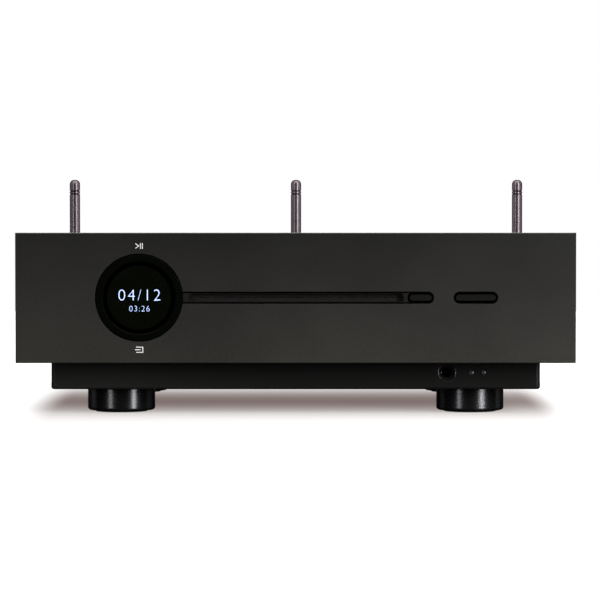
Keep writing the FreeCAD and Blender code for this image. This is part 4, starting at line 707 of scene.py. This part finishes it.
def block(name, low, high, rounding):
    """Make a box between two corners in millimetres and bevel its edges."""
    low = Vector(low) * MM
    high = Vector(high) * MM
    deselect()
    bpy.ops.mesh.primitive_cube_add(size=1, location=(low + high) / 2)
    bpy.context.object.scale = high - low
    piece = start(name)
    pick(piece, "EDGE", lambda middle, way: True)
    bpy.ops.mesh.bevel(offset=rounding * MM, segments=2, affect="EDGES")
    done()
    return piece


def ring_plate(name, middle, outer, inner, thickness, lean=0.0):
    """Make a flat ring that faces the back, leaning about the level axis, with sizes in millimetres."""
    deselect()
    bpy.ops.mesh.primitive_circle_add(
        vertices=40, radius=inner * MM, fill_type="NOTHING", location=Vector(middle) * MM,
        rotation=(math.pi / 2 + lean, 0, 0),
    )
    piece = start(name)
    pick(piece, "EDGE", lambda centre, way: True)
    bpy.ops.mesh.extrude_region()
    bpy.ops.transform.resize(value=(outer / inner,) * 3)
    done()
    apply(piece, "SOLIDIFY", thickness=thickness * MM, offset=0.0)
    apply(piece, "BEVEL", width=thickness * MM / 4, segments=1, limit_method="ANGLE")
    return piece


def row(name, piece, shifts):
    """Copy a piece to further places and join all of them."""
    copies = [copy_to(piece, f"{name}_{index}", Vector(shift) * MM) for index, shift in enumerate(shifts)]
    return join(name, [piece] + copies)


print("ready for sockets")

# %% [markdown]
# The inlet's three blades are bright metal. Each is a block whose front edges are cut back, so that a plug
# finds its way. The round line sockets get a coloured ring each, white above for one channel and red below for
# the other.

# %% Blades and coloured rings
blade = block("mains_blades", (-118.08, 125.1, 52.52), (-115.92, 139.9, 56.68), 0.1)
pick(blade, "FACE", lambda centre, normal: normal.y > 0.99)
bpy.ops.transform.resize(value=(0.35, 1, 0.6))
done()
blades = row("mains_blades", blade, [(14, 0, 0), (7, 0, 2)])
dress(blades, materials["nickel"])

columns = (22, 42, 62)
ring_rows = (
    ("line_rings_upper", 67.6, "insulator_white", "socket_plastic"),
    ("line_rings_lower", 49.6, "post_red", "post_red"),
)
for name, up, material, slot in ring_rows:
    first = ring_plate(name, (columns[0], 150.75, up), 3.22, 1.75, 0.6)
    rings = row(name, first, [(across - columns[0], 0, 0) for across in columns[1:]])
    dress(rings, materials[material])
print("blades and rings:", len(finished), "pieces so far")

# %% [markdown]
# The network socket is lined with black plastic. Its outline is a plate with a step below for the plug's latch,
# and that is pulled inwards into a sleeve.

# %% Network socket
mouth_middle = Vector((118, 140.7, 47.4)) * MM
deselect()
bpy.ops.mesh.primitive_plane_add(size=1, rotation=(math.pi / 2, 0, 0))
bpy.context.object.scale = (11.66 * MM, 6.96 * MM, 1)
liner = start("network_liner")
for side in (-1, 1):
    pick(liner, "FACE", lambda centre, normal: True)
    bpy.ops.mesh.bisect(plane_co=(side * 2.9 * MM, 0, 0), plane_no=(1, 0, 0))
    done()
pick(liner, "EDGE", lambda middle, way: middle.z < -3.4 * MM and abs(middle.x) < 1 * MM)
bpy.ops.mesh.extrude_region_move(TRANSFORM_OT_translate={"value": (0, 0, -1.98 * MM)})
bpy.ops.mesh.select_all(action="SELECT")
bpy.ops.mesh.extrude_region_move(TRANSFORM_OT_translate={"value": (0, -11.8 * MM, 0)})
done()
pick(liner, "FACE", lambda centre, normal: centre.y > -0.01 * MM and abs(normal.y) > 0.9)
bpy.ops.mesh.delete(type="FACE")
bpy.ops.mesh.select_all(action="SELECT")
bpy.ops.mesh.normals_make_consistent(inside=False)
bpy.ops.transform.translate(value=mouth_middle)
done()
apply(liner, "SOLIDIFY", thickness=0.25 * MM, offset=-1.0)
dress(liner, materials["socket_plastic"])
print("liner in mm:", [round(v / MM, 1) for v in liner.dimensions])

# %% [markdown]
# Eight springs slope down from the roof of the mouth. One is shaped, and seven copies stand beside it. Two small
# lights sit above the mouth, in coloured clear plastic.

# %% Springs and lights
spring = block("network_springs", (114.25, 130.0, 50.2), (114.6, 139.6, 50.45), 0.08)
pick(spring, "FACE", lambda centre, normal: centre.y < 130.5 * MM)
bpy.ops.transform.translate(value=(0, 0, -2.2 * MM))
done()
springs = row("network_springs", spring, [(step * 1.02, 0, 0) for step in range(1, 8)])
dress(springs, materials["gold"])

lights = (
    ("network_light_left", 122.4, (0.02, 0.16, 0.03, 1)),
    ("network_light_right", 113.6, (0.32, 0.14, 0.01, 1)),
)
for name, across, colour in lights:
    clear_finish(name, {"Colour": colour, "Roughness": 0.25, "Grains per metre": 1500.0, "Colour change": 0.2}, {})
    light = block(name, (across - 1.3, 140.3, 51.9), (across + 1.3, 140.95, 53.3), 0.12)
    dress(light, materials[name])
print("network parts:", len(finished), "pieces so far")

# %% [markdown]
# The flat data socket has a black tongue with four contacts under it. The square optical socket is black too,
# with a framed front and a shutter that closes its mouth.

# %% Data and optical sockets
tongue = block("data_tongue", (93.5, 128.0, 43.5), (102.5, 139.1, 45.5), 0.2)
dress(tongue, materials["socket_plastic"])
contact = block("data_contacts", (94.25, 130.0, 43.42), (95.25, 138.4, 43.56), 0.05)
contacts = row("data_contacts", contact, [(2.2, 0, 0), (4.3, 0, 0), (6.5, 0, 0)])
dress(contacts, materials["gold"])

deselect()
bpy.ops.mesh.primitive_plane_add(size=1, location=Vector((84, 140.9, 45.6)) * MM, rotation=(math.pi / 2, 0, 0))
bpy.context.object.scale = (9.8 * MM, 9.8 * MM, 1)
frame_plate = start("optical_frame")
pick(frame_plate, "FACE", lambda centre, normal: True)
bpy.ops.mesh.inset(thickness=2.1 * MM, depth=0)
bpy.ops.mesh.delete(type="FACE")
done()
apply(frame_plate, "SOLIDIFY", thickness=0.3 * MM, offset=0.0)
apply(frame_plate, "BEVEL", width=0.08 * MM, segments=2, limit_method="ANGLE")
dress(frame_plate, materials["socket_plastic"])

shutter = block("optical_shutter", (81.3, 139.6, 42.9), (86.7, 140.1, 48.3), 0.12)
pick(shutter, "FACE", lambda centre, normal: normal.y > 0.99)
bpy.ops.mesh.inset(thickness=0.7 * MM, depth=-0.2 * MM)
done()
dress(shutter, materials["drive_plastic"])
print("data and optical parts:", len(finished), "pieces so far")

# %% [markdown]
# Inside the headphone socket at the front lies a contact spring. It starts as a straight leaf and is cut along its
# length. Then its points move sideways, most in the middle, so that it bulges inwards.

# %% Headphone spring
leaf_middle, leaf_half, bulge = -125.25, 5.25, 0.9
leaf = block("headphone_spring", (84.15, -130.5, 23.2), (84.35, -120.0, 25.0), 0.05)
pick(leaf, "EDGE", lambda middle, way: abs(way.y) > 0.99)
bpy.ops.mesh.subdivide(number_cuts=6)
done()
for vertex in leaf.data.vertices:
    along = (vertex.co.y / MM - leaf_middle) / leaf_half
    vertex.co.x += bulge * MM * max(0.0, 1 - along * along)
dress(leaf, materials["nickel"])
print("socket parts:", len(finished), "pieces so far")

# %% [markdown]
# The rear carries only plain marks: numbers over the columns of line sockets, plus and minus over the speaker
# posts, and a bar and a ring on the two halves of the mains switch. A plus is a level bar and an upright one,
# and a minus is the level bar alone.

# %% Numbers and signs
wall = 140.0
ink_back, ink_front = wall - 0.02, wall + 0.03
for number, across in enumerate(columns, 1):
    mark = write(f"line_number_{number}", str(number), Vector((across, wall, 77.2)) * MM, INK, height=2.8 * MM,
                 turn=math.pi)
    dress(mark, materials["white_ink"])

sign_up, sign_long, sign_thin = 69.55, 1.3, 0.25
for number, (across, sign) in enumerate(((-62, "+"), (-42.95, "-"), (-22, "+"), (-2.95, "-")), 1):
    name = f"post_sign_{number}"
    reaches = [(sign_long, sign_thin)]
    if sign == "+":
        reaches.append((sign_thin, sign_long))
    sign_bars = [
        block(name, (across - wide, ink_back, sign_up - high), (across + wide, ink_front, sign_up + high), 0.01)
        for wide, high in reaches
    ]
    dress(join(name, sign_bars), materials["white_ink"])
print("marks at the back:", len(columns) + number)

# %% [markdown]
# The switch's marks lean with its two halves and move with it, so they ride on the rocker. Each half is flat
# between two points of the rocker's outline, and its mark lies in the middle between them.

# %% Marks on the mains switch
rocker_across = -110
rocker_top, rocker_crease, rocker_foot = (143.74, 84.08), (141.92, 76.23), (140.95, 68.24)


def half_of_rocker(upper, lower):
    """Give the middle in millimetres and the lean of the flat between two points (back, up) of the rocker."""
    lean = -math.atan2(upper[0] - lower[0], upper[1] - lower[1])
    middle = (rocker_across, (upper[0] + lower[0]) / 2 + 0.03, (upper[1] + lower[1]) / 2)
    return middle, lean


spot_on, lean = half_of_rocker(rocker_top, rocker_crease)
deselect()
bpy.ops.mesh.primitive_plane_add(size=1, location=Vector(spot_on) * MM, rotation=(math.pi / 2 + lean, 0, 0))
bpy.context.object.scale = (0.7 * MM, 4.2 * MM, 1)
stroke = start("switch_on_mark")
pick(stroke, "FACE", lambda centre, normal: True)
bpy.ops.mesh.bevel(offset=0.3 * MM, segments=3, affect="VERTICES")
done()
apply(stroke, "SOLIDIFY", thickness=INK, offset=0.0)
spot_off, lean = half_of_rocker(rocker_crease, rocker_foot)
zero = ring_plate("switch_off_mark", spot_off, 2.2, 1.6, 0.04, lean=lean)
for piece in (stroke, zero):
    dress(piece, materials["white_ink"], body="mains_rocker")
print("pieces made:", len(finished))

# %% [markdown]
# ## Light, floor and camera
#
# The picture is a plain product shot on white. The floor is a wide pale disc. The camera, metal and glass
# should find the clean white background, while the light on the object stays plain, so the floor and the world
# glow only for those rays. Light Path tells them apart.

# %% Floor


def background_rays(tree):
    """One for rays that should find the white background: those of the camera, of metal and of glass."""
    rays = add(tree, "LightPath").outputs
    some = maths(tree, "ADD", rays["Is Camera Ray"], rays["Is Glossy Ray"])
    return maths(tree, "ADD", some, rays["Is Transmission Ray"], clamp=True)


def rest_of(tree, share):
    """Give what a share leaves of one."""
    return maths(tree, "SUBTRACT", 1.0, share)


deselect()
bpy.ops.mesh.primitive_circle_add(vertices=96, radius=1.6, fill_type="NGON")
floor = start("studio_floor")
tree, shader = new_material("studio_floor")
floor.data.materials.append(materials["studio_floor"])
print("floor:", round(floor.dimensions.x, 2), "m across")

# %% [markdown]
# The shadow in the picture is dark under the amplifier, ends close beside it and runs out slowly to the front.
# A glowing floor would wash that out, so a painted shadow makes the floor's own colour and glow darker in a patch.
# The patch fades quickly at both sides. Its depth is counted in shares of its reach: behind its middle it fades
# with the square of the share, and before it most of it fades near by and the last bit further out.

# %% Painted shadow under the amplifier
PATCH_SIDE, PATCH_SIDE_END = 0.139, 0.167
PATCH_MIDDLE, PATCH_REACH = -0.015, 0.177
NEAR_PART, NEAR_SPEED = 0.7, 1.9
FAR_START, FAR_END = -1.2, -1.9

across = maths(tree, "ABSOLUTE", place_in(tree, "X"))
aside = ramp(tree, across, PATCH_SIDE, PATCH_SIDE_END, interpolation_type="SMOOTHSTEP")
share = maths(tree, "DIVIDE", maths(tree, "SUBTRACT", place_in(tree, "Y"), PATCH_MIDDLE), PATCH_REACH)
behind = maths(tree, "MAXIMUM", share, 0.0)
before = maths(tree, "MINIMUM", share, 0.0)
left_near = maths(tree, "EXPONENT", maths(tree, "MULTIPLY", maths(tree, "MULTIPLY", before, before), -NEAR_SPEED))
near = maths(tree, "MULTIPLY", rest_of(tree, left_near), NEAR_PART)
far = ramp(tree, before, FAR_START, FAR_END, 0.0, 1 - NEAR_PART, interpolation_type="SMOOTHSTEP")
along = maths(tree, "ADD", maths(tree, "MULTIPLY", behind, behind), maths(tree, "ADD", near, far), clamp=True)
outside_painted_shadow = rest_of(tree, maths(tree, "MULTIPLY", rest_of(tree, aside), rest_of(tree, along)))

pale = blend_colour(tree, noise(tree, 40.0), (0.80, 0.795, 0.79, 1), (0.82, 0.815, 0.81, 1))
# Painted shadow: the floor's colour and glow are darker inside the patch.
paint = blend_colour(tree, outside_painted_shadow, (0.24, 0.23, 0.225, 1), pale)
glow = blend_colour(tree, outside_painted_shadow, (0.213, 0.163, 0.152, 1), (1, 1, 1, 1))
fill(tree, shader, {"Base Color": paint, "Emission Color": glow, "Emission Strength": background_rays(tree),
                    "Roughness": 0.9, "Specular IOR Level": 0.1})
print("patch reaches", round(PATCH_SIDE_END / MM), "mm to each side")

# %% [markdown]
# The world gives the soft light of a room: half bright behind the object and almost dark on the side of the
# camera, where a photographer hangs black cloth. For the background's rays it is plain white.

# %% World
world = bpy.data.worlds.new("studio")
bpy.context.scene.world = world
world.use_nodes = True
sky = world.node_tree
sky.nodes.clear()
toward_back = add(sky, "SeparateXYZ", {0: add(sky, "TexCoord").outputs["Generated"]}).outputs["Y"]
strength = ramp(sky, toward_back, -0.7, 0.3, 0.015, 0.5)
room = add(sky, "Background", {"Color": (1.0, 0.99, 0.98, 1), "Strength": strength}).outputs[0]
white = add(sky, "Background", {"Color": (1, 1, 1, 1), "Strength": 1.0}).outputs[0]
mixed = add(sky, "MixShader", {0: background_rays(sky), 1: room, 2: white}).outputs[0]
add(sky, "OutputWorld", {"Surface": mixed})
print("world:", len(sky.nodes), "nodes")

# %% [markdown]
# The front of the gloss parts stays black because nothing bright stands before them. A half-round curtain of
# black cloth behind the camera and a mat of it below see to that, and the camera sees neither. The mat reaches
# past the curtain, because a white gap between them would show in the display glass.

# %% Black cloths
tree, shader = new_material("black_cloth")
fill(tree, shader, {"Base Color": (0.004, 0.004, 0.004, 1), "Roughness": 0.9, "Specular IOR Level": 0.0})
deselect()
bpy.ops.mesh.primitive_cylinder_add(vertices=64, radius=2.5, depth=2.6, end_fill_type="NOTHING",
                                    location=(0, 0, 1.3))
curtain = start("black_curtain")
pick(curtain, "FACE", lambda centre, normal: centre.y > 0.35)
bpy.ops.mesh.delete(type="FACE")
done()
deselect()
bpy.ops.mesh.primitive_plane_add(size=1, location=(0, -1.2, 0.0006))
bpy.context.object.scale = (3.6, 2.8, 1)
mat = start("black_mat")
mat.visible_shadow = False
for screen in (curtain, mat):
    screen.data.materials.append(materials["black_cloth"])
    screen.visible_camera = False
print("cloths:", [round(v, 2) for v in curtain.dimensions], [round(v, 2) for v in mat.dimensions])

# %% [markdown]
# The round feet and rods carry two upright highlights each, from tall soft lamps on the left and the right. A
# large soft lamp from above lights the front evenly and gives the short shadow, and one from behind lights the
# back.

# %% Lamps


def softbox(name, place, target, width, height, power):
    """Add a white rectangular lamp that looks at a target. Lengths are in metres and power is in watts."""
    deselect()
    bpy.ops.object.light_add(type="AREA", location=place)
    lamp = bpy.context.object
    lamp.name = name
    lamp.data.shape = "RECTANGLE"
    lamp.data.size = width
    lamp.data.size_y = height
    lamp.data.energy = power
    lamp.rotation_euler = (Vector(target) - Vector(place)).to_track_quat("-Z", "Y").to_euler()


lit_spot = (0, 0, 0.07)
softbox("lamp_right", (0.82, -1.0, 0.30), lit_spot, 0.30, 1.0, 24)
softbox("lamp_left", (-1.2, -1.65, 0.45), lit_spot, 0.34, 1.4, 17)
softbox("lamp_above", (0.1, -0.1, 1.7), lit_spot, 2.2, 1.8, 18)
softbox("lamp_behind", (0.0, 2.0, 1.1), lit_spot, 2.4, 1.2, 22)

# %% [markdown]
# The camera stands two metres before the front panel, a little above its top, and looks almost level, as in the
# picture. A long lens keeps the panel's edges nearly parallel.

# %% Camera
CAMERA_SPOT = (0.0014, -2.160, 0.130)
LOOKS_AT = (0.00247, -0.160, 0.0667)
bpy.ops.object.camera_add(location=CAMERA_SPOT)
camera = bpy.context.object
camera.name = "camera"
camera.rotation_euler = (Vector(LOOKS_AT) - Vector(CAMERA_SPOT)).to_track_quat("-Z", "Y").to_euler()
camera.data.lens = 210.49
camera.data.sensor_width = 36.0
camera.data.clip_end = 20.0
bpy.context.scene.camera = camera
bpy.context.scene.view_settings.view_transform = "Standard"
print("camera lens:", round(camera.data.lens, 1), "mm")
